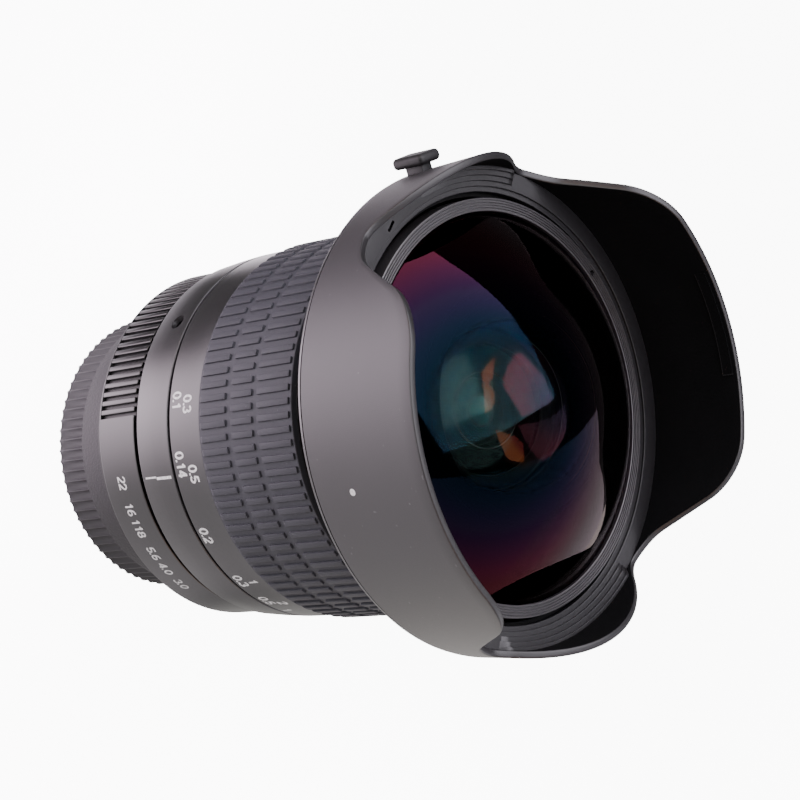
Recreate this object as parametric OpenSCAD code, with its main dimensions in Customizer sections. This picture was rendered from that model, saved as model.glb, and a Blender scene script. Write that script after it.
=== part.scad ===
// Fisheye lens with a removable petal hood, standing on its rear cap.
// Millimetres. The optical axis is Z, the front faces up, and the end face of the rear cap is z = 0.
// The long petals lie along -Y and +Y, and the hood's lock button faces -X.

/* [Rear cap] */
// Clearance round the bayonet lugs inside the cap
cap_clear = 0.7; // [0.4:0.1:1.2]
// Height of the rear cap
cap_h = 15.8; // [14.8:0.1:19]
// Wall of the rear cap
cap_wall = 1.8; // [1.2:0.1:2]
// Floor of the rear cap
cap_floor = 2.2; // [1.5:0.1:3]
// Height of the ribbed band
cap_rib_h = 7.2; // [5:0.1:9]
// Number of grip ribs round the cap
cap_ribs = 84; // [60:1:96]
// Depth of the grooves between the ribs
cap_rib_depth = 0.45; // [0.2:0.05:0.6]
// Depth of the round groove in the end face
cap_groove = 0.4; // [0.2:0.1:0.8]
// Distance of that groove from the edge
cap_groove_in = 5.4; // [4:0.1:8]

/* [Bayonet] */
// Overhang of the bayonet flange beyond the barrel
flange_rim = 1; // [0.6:0.1:1.6]
// Thickness of the bayonet flange
flange_t = 2.2; // [1.8:0.1:3]
// Outer diameter of the spigot
spigot_d = 43.9; // [43:0.1:44.5]
// Wall of the spigot
spigot_wall = 1.6; // [1.2:0.1:2.2]
// Length of the spigot behind the flange
spigot_l = 5.5; // [5:0.1:6.5]
// Rise of the three bayonet lugs over the spigot
lug_rise = 1.75; // [1.4:0.05:2]
// Thickness of a lug
lug_t = 1.6; // [1.2:0.1:2]
// Distance from the flange face to the lugs
lug_set = 2.4; // [2:0.1:3]
// Angle that one lug covers
lug_angle = 56; // [45:1:60]
// Diameter of the fixing screws
screw_d = 2; // [1.6:0.1:2.2]
// Number of screws in the bayonet flange
mount_screws = 5; // [3:1:6]

/* [Barrel] */
// Diameter of the barrel under the aperture ring
barrel_d = 57; // [56:0.1:57.4]
// Wall of the barrel under the aperture ring
barrel_wall = 2.6; // [2.4:0.1:2.8]
// Width of the dark groove between aperture ring and index ring
groove_w = 2.6; // [1.5:0.1:3.5]
// Width of the fixed index ring
index_w = 9.1; // [7:0.1:11]
// Taper of the index ring from front to rear, on the radius
index_taper = 1.2; // [0.4:0.1:2]
// Step from the barrel out to the guide tube
guide_step = 1.5; // [1.4:0.05:2]
// Wall of the guide tube
guide_wall = 1.3; // [1:0.1:1.5]
// Angle of the index line round the axis
index_angle = -96.2; // [-110:0.1:-80]

/* [Aperture ring] */
// Wall of the aperture ring
ap_wall = 2.4; // [2:0.1:3.2]
// Width of the aperture ring
ap_w = 9.7; // [8.5:0.1:12]
// Angle from the smallest stop to the largest
ap_range = 46; // [40:1:50]
// Angle of one grip rib and its groove
ap_pitch = 4.5; // [4:0.1:6]
// Depth of the grip grooves
ap_groove_depth = 0.8; // [0.4:0.1:1]
// Angle covered by the grip ribs
ap_grip_angle = 229.5; // [180:0.5:240]

/* [Focus ring] */
// Width of the distance scale
scale_w = 8; // [6:0.1:10]
// Width of the rubber grip
grip_w = 23.2; // [20:0.1:27]
// Wall of the sleeve under the rubber
sleeve_wall = 2.3; // [1.8:0.1:3]
// Step from the sleeve up to the distance scale
scale_step = 1.1; // [0.6:0.1:1.6]
// Thickness of the rubber with its ribs
grip_t = 1.7; // [1.4:0.1:2.6]
// Number of rubber ribs
grip_ribs = 92; // [72:1:100]
// Height of the rubber ribs
grip_rib_h = 0.9; // [0.4:0.1:1.2]
// Length of the rear and front rows of ribs
grip_row = 8.3; // [7:0.1:9]
// Width of the slots between the rows
grip_slot_w = 0.9; // [0.5:0.1:1.4]
// Turn of the focus ring from rest to the nearest distance
focus_near = 22; // [10:1:30]
// Turn of the focus ring from rest to infinity
focus_far = 70; // [50:1:90]

/* [Front] */
// Length of the recessed neck in front of the rubber
neck_l = 6; // [4:0.1:8]
// Wall of that neck
neck_wall = 2.4; // [2:0.1:3.4]
// Wall of the hood seat on the collar
seat_ring = 1.5; // [1.2:0.1:2]
// Distance from the hood's rear rim to the front of the bezel
bezel_rise = 8.6; // [8.2:0.1:10]
// Width of the bezel's front face
bezel_w = 2.3; // [1.6:0.1:2.6]
// Height of the bezel ring
bezel_h = 3; // [2.6:0.1:3.4]
// Radius of the front glass
glass_r = 48.5; // [46:0.5:54]
// Thickness of the front glass at its centre
glass_t = 4.5; // [3.5:0.1:6]
// Radius of the hollow back of the front glass
hollow_r = 18; // [17:0.1:19]

/* [Hood] */
// Diameter of the hood at its rear rim
hood_d = 84.6; // [83.8:0.1:88]
// Growth of the hood's radius for each millimetre forward
hood_flare = 0.043; // [0.02:0.001:0.08]
// Width of the hood's rear rim, from its bore to its outside
hood_rim = 4; // [3.6:0.1:5]
// Wall of the hood
hood_wall = 1.1; // [0.8:0.05:1.3]
// Length of a long petal from the rear rim
long_petal = 26.4; // [22:0.1:30]
// Length of a short petal from the rear rim
short_petal = 16.3; // [13:0.1:19]
// Height of the notches between the petals
notch_h = 7.8; // [7.6:0.1:9]
// Half width of a long petal at its root
petal_half_w = 35.6; // [33:0.1:37]
// Lean of a long petal's flanks
petal_lean = 28.8; // [15:0.1:35]
// Radius of the long petal's shoulders
shoulder_r = 8.8; // [4:0.1:12]
// Radius of the notch beside a long petal
notch_r = 5; // [2:0.1:7]
// Radius of the short petal's edge
short_r = 24; // [20:0.1:30]
// Width of one step of the baffle
step_w = 0.9; // [0.6:0.05:1]
// Rise of one step of the baffle
step_h = 0.45; // [0.2:0.05:0.5]
// Half angle of the stepped sectors
step_angle = 29.5; // [20:0.5:35]

/* [Lock button] */
// Size of the button's plate along the axis
button_l = 6.6; // [5:0.1:7.5]
// Size of the button's plate across
button_w = 5; // [4.4:0.1:7]
// Thickness of the button's plate
button_t = 1.8; // [1.2:0.1:2.5]
// Travel of the button
button_travel = 1; // [0.6:0.1:1.1]
// Size of the button's neck along the axis
neck_len = 3.8; // [3:0.1:3.9]
// Size of the button's neck across
neck_w = 2.6; // [2:0.1:3.2]

/* [Optics] */
// Wall of the optic barrel at its rear
optic_wall = 3.1; // [2.6:0.1:3.4]
// Diameter of the second glass
second_d = 31.8; // [30:0.1:33]
// Diameter of the third glass
third_d = 21; // [19:0.1:23]
// Diameter of the fourth glass
fourth_d = 18.6; // [17:0.1:19]
// Diameter of the fifth glass
fifth_d = 20; // [18:0.1:22]
// Diameter of the rear glass
rear_d = 26; // [24:0.1:28]
// Thickness of the second glass at its edge
second_edge = 4.8; // [4:0.1:5.6]
// Thickness of the third glass
third_l = 6.4; // [5:0.1:7]
// Thickness of the fourth glass
fourth_l = 6.2; // [5:0.1:7]
// Thickness of the fifth glass
fifth_l = 4.4; // [4:0.1:5]
// Thickness of the rear glass
rear_l = 4.9; // [4.2:0.1:5.6]
// Radius of the open iris
iris_open = 5.5; // [4.6:0.1:6]
// Radius of the closed iris at rest
iris_closed = 0.5; // [0.3:0.1:1.5]
// Radius of the circle of blade pivots
pivot_r = 11; // [10.8:0.1:11.6]
// Distance from a blade's pivot to its drive pin
crank = 2.4; // [2:0.1:2.6]
// Thickness of an iris blade
blade_t = 0.25; // [0.15:0.01:0.3]

/* [Clearances] */
// Running clearance between round pieces that turn or slide
run = 0.3; // [0.2:0.05:0.35]
// Clearance of pieces that are screwed or glued together
fit = 0.05; // [0.02:0.01:0.1]
// Gap at the ends of the turning rings
end_gap = 0.4; // [0.3:0.05:0.6]
// Gap between the rear cap and the bayonet flange, and between hood and collar
cap_gap = 0.2; // [0.1:0.05:0.4]
// Gap round the bezel inside the hood seat
bezel_gap = 0.5; // [0.4:0.05:0.8]
// Gap between neighbouring glasses
glass_gap = 0.1; // [0.05:0.05:0.3]

/* [Hidden] */
$fn = 96;
// Segments of the glass surfaces and what bears on them
glass_fn = 240;
over = 1;
blades = 6;

// Stations along the axis
z_flange = cap_h + cap_gap;
z_barrel = z_flange + flange_t;
z_ap = z_barrel + end_gap;
z_groove = z_ap + ap_w;
z_index = z_groove + groove_w;
z_focus = z_index + index_w + end_gap;
z_grip = z_focus + scale_w;
z_sleeve_end = z_grip + grip_w;
z_collar = z_sleeve_end + end_gap;
collar_flare = 2;
collar_lip = 1.2;
z_collar_lip = z_collar + neck_l + collar_flare;
z_hood = z_collar_lip + collar_lip + cap_gap;
z_bezel = z_hood + bezel_rise;

// Radii of the nested tubes, from the bayonet outwards and from the hood inwards
spigot_r = spigot_d / 2;
lug_r = spigot_r + lug_rise;
cap_in = lug_r + cap_clear;
cap_r = cap_in + cap_wall;
barrel_r = barrel_d / 2;
barrel_in = barrel_r - barrel_wall;
flange_r = barrel_r + flange_rim;
screw_circle = barrel_r - barrel_wall / 2;
guide_r = barrel_r + guide_step;
guide_in = guide_r - guide_wall;
ap_in = barrel_r + run;
ap_r = ap_in + ap_wall;
groove_step = 1;
groove_floor = barrel_r + groove_step;
focus_in = guide_r + run;
sleeve_r = focus_in + sleeve_wall;
grip_r = sleeve_r + grip_t;
scale_r = sleeve_r + scale_step;
index_rear_r = scale_r - index_taper;
neck_r = guide_r + neck_wall;
optic_r = barrel_in - run;
lever_t = 1.2;
lever_r = barrel_in - run;
optic_rear_r = lever_r - lever_t - run;
optic_in = optic_rear_r - optic_wall;
hood_r = hood_d / 2;
hood_bore = hood_r - hood_rim;
seat_r = hood_bore - run;
collar_in = seat_r - seat_ring;
bezel_r = collar_in - bezel_gap;
bezel_in = bezel_r - bezel_w;

// Screws
head_d = 1.7 * screw_d;
head_t = screw_d / 2;
screw_l = 6;
screw_fn = 32;
collar_screws_at = [45, 165, 285];
collar_screw_bite = 0.7;
z_collar_screw = z_collar + 2.4;

// Threaded helicoid and its drive
heli_lap = 2;
z_heli = z_grip - heli_lap;
heli_l = 17.4;
z_drive = z_heli + heli_l / 2;
drive_d = 2.8;
drive_sink = 0.2;
drive_angles = [90, 270];
heli_r = guide_in - run;

// Optic block: stations from the front glass backwards, then from the rear edge forwards
rim_drop = 0.9;
glass_lip = 0.7;
glass_edge_r = bezel_in + glass_lip;
dome_h = glass_r - sqrt(glass_r * glass_r - bezel_in * bezel_in);
z_dome = z_bezel - rim_drop + dome_h;
glass_seat_drop = 5.6;
z_glass_seat = z_bezel - glass_seat_drop;
cell_inset = 0.1;
cell_r = bezel_r - cell_inset;
z_cell_top = z_bezel - bezel_h - fit;
cell_rise = 2.8;
z_cell = z_collar + cell_rise;
cell_flare = 8.5;
shoulder_rise = 1.8;
z_shoulder = z_index + index_w + shoulder_rise;
optic_rise = 3.8;
z_optic = z_barrel + optic_rise;
inner_rise = 4;
z_inner = z_shoulder + inner_rise;
second_drop = 0.8;
z_second = z_cell - second_drop;
second_front_r = 38;
second_back_r = 13;
second_back_drop = 7.5;
third_drop = 14;
third_front_r = 26;
third_back_r = 40;
z_third = z_second - third_drop;
fourth_rise = 2.2;
fourth_front_r = 34;
fourth_back_r = 30;
z_fourth = z_inner + fourth_rise;
cell_sink = 0.2;
z_inner_top = z_second + second_edge - cell_sink;
lid_slope = 0.8;
z_lid = z_second + second_edge + 2 * lid_slope;
rear_recess = 1.6;
rear_front_r = 44;
rear_back_r = 36;
z_rear_glass = z_optic + rear_recess;
fifth_lip = 1;
fifth_front_r = 32;
fifth_back_r = 46;
z_fifth = z_rear_glass + rear_l + glass_gap;
z_iris = z_fifth + fifth_l + fifth_lip;
key_angles = [0, 180];
key_l = 3;
key_w = 3;
key_depth = 1.2;
key_play = 4;
key_screw_l = 2;
key_rise = 0.6;
z_key = z_shoulder + key_rise;

// Iris
iris_plate_t = 1.2;
iris_rim = 0.7;
blade_gap = 0.1;
blade_pitch = blade_t + blade_gap;
z_blades = z_iris + iris_plate_t + run;
z_cam = z_blades + blades * blade_pitch + run;
cam_t = 1;
cam_margin = 2.3;
cam_r = pivot_r + crank + cam_margin;
cam_inset = 1.2;
cam_in = pivot_r - cam_inset;
blade_w = 3.5;
blade_out = iris_open + blade_w;
blade_arc = 140;
blade_tail = 4;
pivot_pad = 1.2;
drive_pad = 0.9;
pin_r = 0.6;
pin_gap = 0.25;
pin_fn = 24;
crank_angle = 40;
blade_turn = 2 * asin((iris_open - iris_closed) / (2 * pivot_r));
tab_angle = 4;
lever_angle = 12;
lever_at = 40;
lever_middle = lever_at + lever_angle / 2;
slot_steps = 15;
fork_gap = 0.5;
lever_rise = 3.6;
z_lever = z_ap + lever_rise;
lever_foot = 2.4;
lever_foot_in = 0.9;

// Click stops of the aperture ring, as shares of its range
stops = [0, 0.22, 0.36, 0.45, 0.62, 0.78, 1];
click_r = 1;
click_at = 200;
click_drop = 2;
z_click = z_groove - click_drop;

// Set screw of the index ring
set_screw_at = index_angle - 50;
set_screw_r = 1.2;
set_screw_l = 3;
set_screw_sink = 0.6;
set_screw_rise = 5.6;
z_set_screw = z_index + set_screw_rise;

// Hood
hood_back_t = 1.2;
seat_wall = 0.7;
seat_l = 6.6;
hood_top_r = hood_r + hood_flare * long_petal;
baffle_gap = 1.2;
baffle_in = bezel_r + baffle_gap;
baffle_base = 0.8;
baffle_slot_at = -157.5;
hood_keys = [30, 150, 270];
hood_key_w = 3;
hood_key_h = 0.9;
hood_key_l = 4;
hood_key_rise = 1.4;
z_baffle = z_hood + seat_l;

// Lock button
button_rise = 4.2;
z_button = z_hood + button_rise;
button_gap = 0.4;
button_foot_t = 0.6;
button_foot_margin = 0.4;
foot_gap = 0.1;
leaf_t = 0.2;
leaf_w = 3;
leaf_angle = 9;
button_face = hood_r + hood_flare * button_rise + button_travel + button_gap;
foot_face = hood_r - hood_wall - foot_gap;

// A ring with square edges
module tube(outer, inner, low, high) {
    translate([0, 0, low]) difference() {
        cylinder(r = outer, h = high - low);
        translate([0, 0, -over]) cylinder(r = inner, h = high - low + 2 * over);
    }
}

// Part of such a ring between two angles
module sector(outer, inner, low, high, from, to) {
    rotate([0, 0, from]) rotate_extrude(angle = to - from)
        translate([inner, low]) square([outer - inner, high - low]);
}

// A turned piece from its half section
module turned(points) {
    rotate_extrude() polygon(points);
}

// A round rod that points away from the axis
module radial_rod(radius, inner, outer, height, angle) {
    rotate([0, 0, angle]) translate([inner, 0, height]) rotate([0, 90, 0])
        cylinder(r = radius, h = outer - inner);
}

// A glass with a convex front and a convex back
module biconvex(diameter, low, length, front_r, back_r) {
    intersection() {
        translate([0, 0, low]) cylinder(d = diameter, h = length);
        translate([0, 0, low + length - front_r]) sphere(r = front_r, $fn = glass_fn);
        translate([0, 0, low + back_r]) sphere(r = back_r, $fn = glass_fn);
    }
}

// A rectangle with round corners
module rounded(size, radius) {
    square([size.x - 2 * radius, size.y], center = true);
    square([size.x, size.y - 2 * radius], center = true);
    for (x = [-1, 1], y = [-1, 1])
        translate([x * (size.x / 2 - radius), y * (size.y / 2 - radius)]) circle(r = radius);
}

function arc(centre, radius, from, to, steps) =
    [for (i = [0:steps]) let (a = from + (to - from) * i / steps)
        centre + radius * [cos(a), sin(a)]];

// Rear cap
module rear_cap() {
    chamfer = 0.8;
    groove_r = 0.8;
    groove_out = cap_r - cap_groove_in;
    groove_wide = 0.8;
    lug_low = z_flange - lug_set - lug_t;
    lug_pitch = 120;
    lug_play = 3;
    half = (lug_pitch - lug_angle) / 2 - lug_play;
    color("dimgray") union() {
        difference() {
            turned([
                [0, 0], [groove_out - groove_wide, 0], [groove_out - groove_wide, cap_groove],
                [groove_out, cap_groove], [groove_out, 0],
                [cap_r - chamfer, 0], [cap_r, chamfer], [cap_r, cap_h], [cap_in, cap_h],
                [cap_in, cap_floor], [0, cap_floor]
            ]);
            for (i = [0:cap_ribs - 1]) rotate([0, 0, i * 360 / cap_ribs])
                translate([cap_r + groove_r - cap_rib_depth, 0, -over])
                    cylinder(r = groove_r, h = cap_rib_h + over, $fn = 24);
        }
        for (i = [0:2]) let (middle = lug_pitch * (i + 0.5))
            sector(cap_in + fit, spigot_r + run, lug_low, lug_low + lug_t, middle - half, middle + half);
    }
}

// Bayonet
module bayonet_plate() {
    lug_low = z_flange - lug_set - lug_t;
    spigot_in = spigot_r - spigot_wall;
    lug_pitch = 120;
    lock_slot = [2.4, 2.2];
    color("silver") difference() {
        union() {
            tube(flange_r, spigot_in, z_flange, z_barrel);
            tube(spigot_r, spigot_in, z_flange - spigot_l, z_flange + over);
            for (i = [0:2])
                sector(lug_r, spigot_r - fit, lug_low, lug_low + lug_t,
                    i * lug_pitch - lug_angle / 2, i * lug_pitch + lug_angle / 2);
        }
        for (i = [0:mount_screws - 1]) rotate([0, 0, i * 360 / mount_screws])
            translate([screw_circle, 0, 0]) {
                translate([0, 0, z_flange - over])
                    cylinder(d = screw_d + 2 * fit, h = flange_t + 2 * over, $fn = screw_fn);
                translate([0, 0, z_flange - over])
                    cylinder(d = head_d + 2 * fit, h = head_t + over, $fn = screw_fn);
            }
        rotate([0, 0, index_angle + 90])
            translate([flange_r - lock_slot.x, -lock_slot.y / 2, z_flange - over])
                cube([lock_slot.x + over, lock_slot.y, flange_t + 2 * over]);
    }
}

module bayonet_screws() {
    cross = [1.2 * screw_d, 0.25 * screw_d];
    color("gainsboro") for (i = [0:mount_screws - 1]) rotate([0, 0, i * 360 / mount_screws])
        translate([screw_circle, 0, z_flange]) {
            cylinder(d = screw_d, h = screw_l, $fn = screw_fn);
            difference() {
                cylinder(d = head_d, h = head_t, $fn = screw_fn);
                for (turn = [0, 90]) rotate([0, 0, turn])
                    cube([cross.x, cross.y, head_t], center = true);
            }
        }
}

module rear_baffle() {
    hole_r = rear_d / 2;
    plate_t = 1.2;
    bevel = 2;
    color("black") turned([
        [hole_r, z_barrel], [barrel_in - fit, z_barrel], [barrel_in - fit, z_barrel + plate_t],
        [hole_r + bevel, z_barrel + plate_t], [hole_r, z_barrel + plate_t / 2]
    ]);
}

// Barrel with the fixed index ring and the guide tube
module main_barrel() {
    index_break = index_w * 0.48;
    facet_rise = 0.05;
    mid_r = (index_rear_r + scale_r) / 2 + facet_rise;
    guide_lap = 4.4;
    guide_top = z_collar + guide_lap;
    click_hole_r = click_r + run / 2;
    color("dimgray") difference() {
        turned([
            [barrel_in, z_barrel], [barrel_r, z_barrel], [barrel_r, z_groove + end_gap],
            [groove_floor, z_groove + end_gap], [groove_floor, z_index],
            [index_rear_r, z_index], [mid_r, z_index + index_break],
            [scale_r, z_index + index_w], [guide_r, z_index + index_w],
            [guide_r, guide_top], [guide_in, guide_top], [guide_in, z_heli - run],
            [barrel_in, z_heli - run]
        ]);
        for (i = [0:mount_screws - 1]) rotate([0, 0, i * 360 / mount_screws])
            translate([screw_circle, 0, z_barrel - over])
                cylinder(d = screw_d + 2 * fit, h = screw_l, $fn = screw_fn);
        lever_slot();
        for (angle = drive_angles) drive_slot(angle);
        radial_rod(set_screw_r + fit, index_rear_r - set_screw_l, scale_r + over,
            z_set_screw, set_screw_at);
        for (angle = key_angles)
            radial_rod(screw_d / 2 + fit, barrel_in - over, barrel_in + key_screw_l + run,
                z_key + key_l / 2, angle);
        radial_rod(click_hole_r, barrel_in - over, barrel_r + over, z_click, click_at);
        for (angle = collar_screws_at)
            radial_rod(screw_d / 2 + fit, guide_r - collar_screw_bite - fit, guide_r + over,
                z_collar_screw, angle);
    }
}

// Slot for the arm of the aperture lever over the whole range of the ring
module lever_slot() {
    margin = 1.5;
    sector(barrel_r + over, barrel_in - over, z_lever - run, z_lever + lever_foot + run,
        lever_at - ap_range - margin, lever_at + lever_angle + margin);
}

// Slot for one drive screw over the whole range of the focus ring
module drive_slot(angle) {
    margin = 2 * asin((drive_d / 2 + run) / guide_in);
    sector(guide_r + over, guide_in - over, z_drive - drive_d / 2 - run, z_drive + drive_d / 2 + run,
        angle - focus_far - margin, angle + focus_near + margin);
}

module index_set_screw() {
    top = index_rear_r - set_screw_sink;
    slit = [0.8, 0.4];
    color("black") difference() {
        radial_rod(set_screw_r, top - set_screw_l + set_screw_sink, top, z_set_screw, set_screw_at);
        rotate([0, 0, set_screw_at]) translate([top, 0, z_set_screw])
            cube([slit.x, slit.y, 2 * set_screw_r], center = true);
    }
}

module guide_keys() {
    root = 0.4;
    color("goldenrod") for (angle = key_angles) {
        rotate([0, 0, angle]) intersection() {
            translate([0, -key_w / 2, z_key]) cube([barrel_in, key_w, key_l]);
            tube(barrel_in - fit, optic_r - key_depth + run, z_key - over, z_key + key_l + over);
        }
        radial_rod(screw_d / 2, barrel_in - root, barrel_in + key_screw_l, z_key + key_l / 2, angle);
    }
}

module click_ball() {
    color("silver") rotate([0, 0, click_at]) translate([barrel_r + run / 2 - click_r, 0, z_click])
        sphere(r = click_r);
}

module click_spring() {
    low = barrel_in + fit;
    high = barrel_r + run / 2 - 2 * click_r;
    outer = 0.85 * click_r;
    inner = 0.5 * click_r;
    color("silver") difference() {
        radial_rod(outer, low, high, z_click, click_at);
        radial_rod(inner, low - over, high + over, z_click, click_at);
    }
}

// Front collar that keeps the focus ring on and carries the hood
module front_collar() {
    bore = guide_r + fit;
    lip_w = 1.6;
    lip_r = seat_r + lip_w;
    edge = 0.6;
    front = z_hood + seat_l - edge;
    key_floor = 0.8;
    cup_rise = 2.5;
    cup_step = 1;
    cup_base = 0.4;
    cup_drop = 0.7;
    color("black") difference() {
        turned([
            [bore, z_collar], [neck_r, z_collar], [neck_r, z_collar + neck_l],
            [lip_r, z_collar_lip], [lip_r, z_collar_lip + collar_lip],
            [seat_r, z_collar_lip + collar_lip], [seat_r, front - edge], [seat_r - edge, front],
            [collar_in, front], [collar_in, z_collar_lip + cup_rise],
            [neck_r - cup_step, z_collar + neck_l + cup_base], [bore, z_collar + neck_l - cup_drop]
        ]);
        for (angle = hood_keys) rotate([0, 0, angle])
            translate([seat_r - hood_key_h - run / 3, -hood_key_w / 2 - run, z_hood + key_floor])
                cube([hood_key_h + over, hood_key_w + 2 * run, seat_l]);
        for (angle = collar_screws_at)
            radial_rod(screw_d / 2 + fit, guide_r - over, neck_r + over, z_collar_screw, angle);
    }
}

module collar_screws() {
    sink = 0.2;
    color("silver") for (angle = collar_screws_at)
        radial_rod(screw_d / 2, guide_r - collar_screw_bite, neck_r - sink, z_collar_screw, angle);
}

// Focus ring
module focus_ring() {
    edge = 0.3;
    color("dimgray") difference() {
        turned([
            [focus_in, z_focus], [scale_r - edge, z_focus], [scale_r, z_focus + edge],
            [scale_r, z_grip], [sleeve_r, z_grip], [sleeve_r, z_sleeve_end], [focus_in, z_sleeve_end]
        ]);
        for (angle = drive_angles)
            radial_rod(drive_d / 2 + fit, focus_in - over, sleeve_r + over, z_drive, angle);
    }
}

// Rubber grip: axial ribs cut into three rows
module focus_grip() {
    pitch = 360 / grip_ribs;
    rib_share = 0.5;
    channel = 2 * grip_r * sin(pitch / 2) * (1 - rib_share);
    floor_r = grip_r - grip_rib_h;
    color("darkslategray") difference() {
        tube(grip_r, sleeve_r + fit, z_grip + fit, z_sleeve_end);
        for (i = [0:grip_ribs - 1]) rotate([0, 0, i * pitch])
            translate([floor_r, -channel / 2, z_grip - over])
                cube([grip_rib_h + over, channel, grip_w + 2 * over]);
        for (low = [z_grip + grip_row, z_sleeve_end - grip_row - grip_slot_w])
            tube(grip_r + over, floor_r, low, low + grip_slot_w);
    }
}

module helicoid_ring() {
    color("goldenrod") difference() {
        tube(heli_r, optic_r + run, z_heli, z_heli + heli_l);
        for (angle = drive_angles)
            radial_rod(drive_d / 2 + fit, optic_r, heli_r + over, z_drive, angle);
    }
}

module drive_screws() {
    top = sleeve_r - drive_sink;
    slit = [0.8, 0.5];
    color("silver") for (angle = drive_angles) difference() {
        radial_rod(drive_d / 2, optic_r + 2 * run, top, z_drive, angle);
        rotate([0, 0, angle]) translate([top, 0, z_drive])
            cube([slit.x, slit.y, 2 * drive_d], center = true);
    }
}

// Optic barrel, which slides in the main barrel and can't turn
module optic_barrel() {
    color("black") difference() {
        turned([
            [optic_in, z_optic], [optic_rear_r, z_optic], [optic_rear_r, z_shoulder],
            [optic_r, z_shoulder], [optic_r, z_cell], [optic_in, z_cell]
        ]);
        for (angle = key_angles) rotate([0, 0, angle])
            translate([optic_r - key_depth, -key_w / 2 - run, z_shoulder - over])
                cube([key_depth + over, key_w + 2 * run, key_l + key_play + over]);
        tab_slot(optic_rear_r + over, optic_in - over, z_cam + cam_t + run);
    }
}

// Slot for the tab of the iris cam ring
module tab_slot(outer, inner, high) {
    sector(outer, inner, z_cam - run, high,
        lever_middle - ap_range - tab_angle, lever_middle + tab_angle);
}

// Cup that holds the front glass
module front_cell() {
    bore = hollow_r + 2 * run;
    pocket = glass_edge_r + 4 * fit;
    root = 0.5;
    shelf = 2;
    color("black") turned([
        [optic_in, z_cell + fit], [optic_r, z_cell + fit], [optic_r, z_cell + root],
        [cell_r, z_cell + root + cell_flare], [cell_r, z_cell_top], [pocket, z_cell_top],
        [pocket, z_glass_seat - fit], [bore, z_glass_seat - fit],
        [bore, z_glass_seat - shelf], [optic_in, z_lid + run]
    ]);
}

// Front glass: a deep dome with a hollow back
module front_element() {
    hollow_z = z_dome - glass_t - hollow_r;
    color("midnightblue") difference() {
        intersection() {
            translate([0, 0, z_glass_seat]) cylinder(r = glass_edge_r, h = z_dome - z_glass_seat + over);
            translate([0, 0, z_dome - glass_r]) sphere(r = glass_r, $fn = glass_fn);
        }
        translate([0, 0, hollow_z]) sphere(r = hollow_r, $fn = glass_fn);
    }
}

// Bezel: screws down on the front glass
module front_retainer() {
    lines = 4;
    line_w = 0.22;
    line_depth = 0.2;
    notch = [1.2, 1.6, 1];
    notch_at = 114;
    lip_t = 1;
    color("black") difference() {
        tube(bezel_r, bezel_in, z_bezel - bezel_h, z_bezel);
        translate([0, 0, z_dome - glass_r]) sphere(r = glass_r + 3 * fit, $fn = glass_fn);
        translate([0, 0, z_bezel - bezel_h - over])
            cylinder(r = glass_edge_r + 3 * fit, h = over + bezel_h - rim_drop - lip_t);
        for (i = [1:lines]) let (r = bezel_in + bezel_w * i / (lines + 1))
            tube(r + line_w / 2, r - line_w / 2, z_bezel - line_depth, z_bezel + over);
        for (turn = [0, 180]) rotate([0, 0, notch_at + turn])
            translate([bezel_r - notch.x, -notch.y / 2, z_bezel - notch.z])
                cube([notch.x + over, notch.y, notch.z + over]);
    }
}

// Inner cell with the second, third and fourth glass
module inner_cell() {
    second_r = second_d / 2 + 2 * fit;
    third_r = third_d / 2 + 2 * fit;
    fourth_r = fourth_d / 2 + 2 * fit;
    ledge = 1;
    funnel = 4;
    step = 1;
    color("black") turned([
        [fourth_r - ledge, z_inner], [optic_in - fit, z_inner], [optic_in - fit, z_inner_top],
        [second_r, z_inner_top], [second_r, z_second - fit], [third_r + ledge, z_second - fit],
        [third_r, z_second - funnel], [third_r, z_third - fit], [fourth_r, z_third - fit - step],
        [fourth_r, z_fourth - fit], [fourth_r - ledge, z_fourth - fit]
    ]);
}

module second_element() {
    front = z_second + second_edge
        + second_front_r - sqrt(second_front_r * second_front_r - second_d * second_d / 4);
    color("lightsteelblue") difference() {
        intersection() {
            translate([0, 0, z_second]) cylinder(d = second_d, h = front - z_second + over);
            translate([0, 0, front - second_front_r]) sphere(r = second_front_r, $fn = glass_fn);
        }
        translate([0, 0, z_second - second_back_drop]) sphere(r = second_back_r, $fn = glass_fn);
    }
}

module inner_retainer() {
    low = z_second + second_edge;
    lap = 1;
    edge_r = second_d / 2 + 4 * fit;
    inner = second_d / 2 - lap;
    outer = optic_in - 2 * fit;
    color("black") turned([
        [inner, low + lid_slope], [edge_r, low + 2 * fit], [edge_r, z_inner_top + fit],
        [outer, z_inner_top + fit], [outer, low + lap], [inner, z_lid]
    ]);
}

module third_element() {
    color("lightsteelblue") biconvex(third_d, z_third, third_l, third_front_r, third_back_r);
}

module fourth_element() {
    color("lightsteelblue") biconvex(fourth_d, z_fourth, fourth_l, fourth_front_r, fourth_back_r);
}

// Rear cell with the fifth and the rear glass
module rear_cell() {
    fifth_r = fifth_d / 2 + 2 * fit;
    rear_r = rear_d / 2 + 2 * fit;
    low = z_optic + cell_sink;
    color("black") turned([
        [rear_r, low], [optic_in - fit, low], [optic_in - fit, z_iris - fit],
        [fifth_r - fifth_lip, z_iris - fit], [fifth_r - fifth_lip, z_iris - fifth_lip],
        [fifth_r, z_iris - fifth_lip], [fifth_r, z_fifth], [rear_r, z_fifth]
    ]);
}

module fifth_element() {
    color("lightsteelblue") biconvex(fifth_d, z_fifth, fifth_l - fit, fifth_front_r, fifth_back_r);
}

module rear_element() {
    color("lightsteelblue") biconvex(rear_d, z_rear_glass + fit, rear_l - fit, rear_front_r, rear_back_r);
}

module rear_retainer() {
    wall = 1.4;
    color("black") tube(rear_d / 2, rear_d / 2 - wall, z_optic + cell_sink, z_rear_glass);
}

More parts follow.
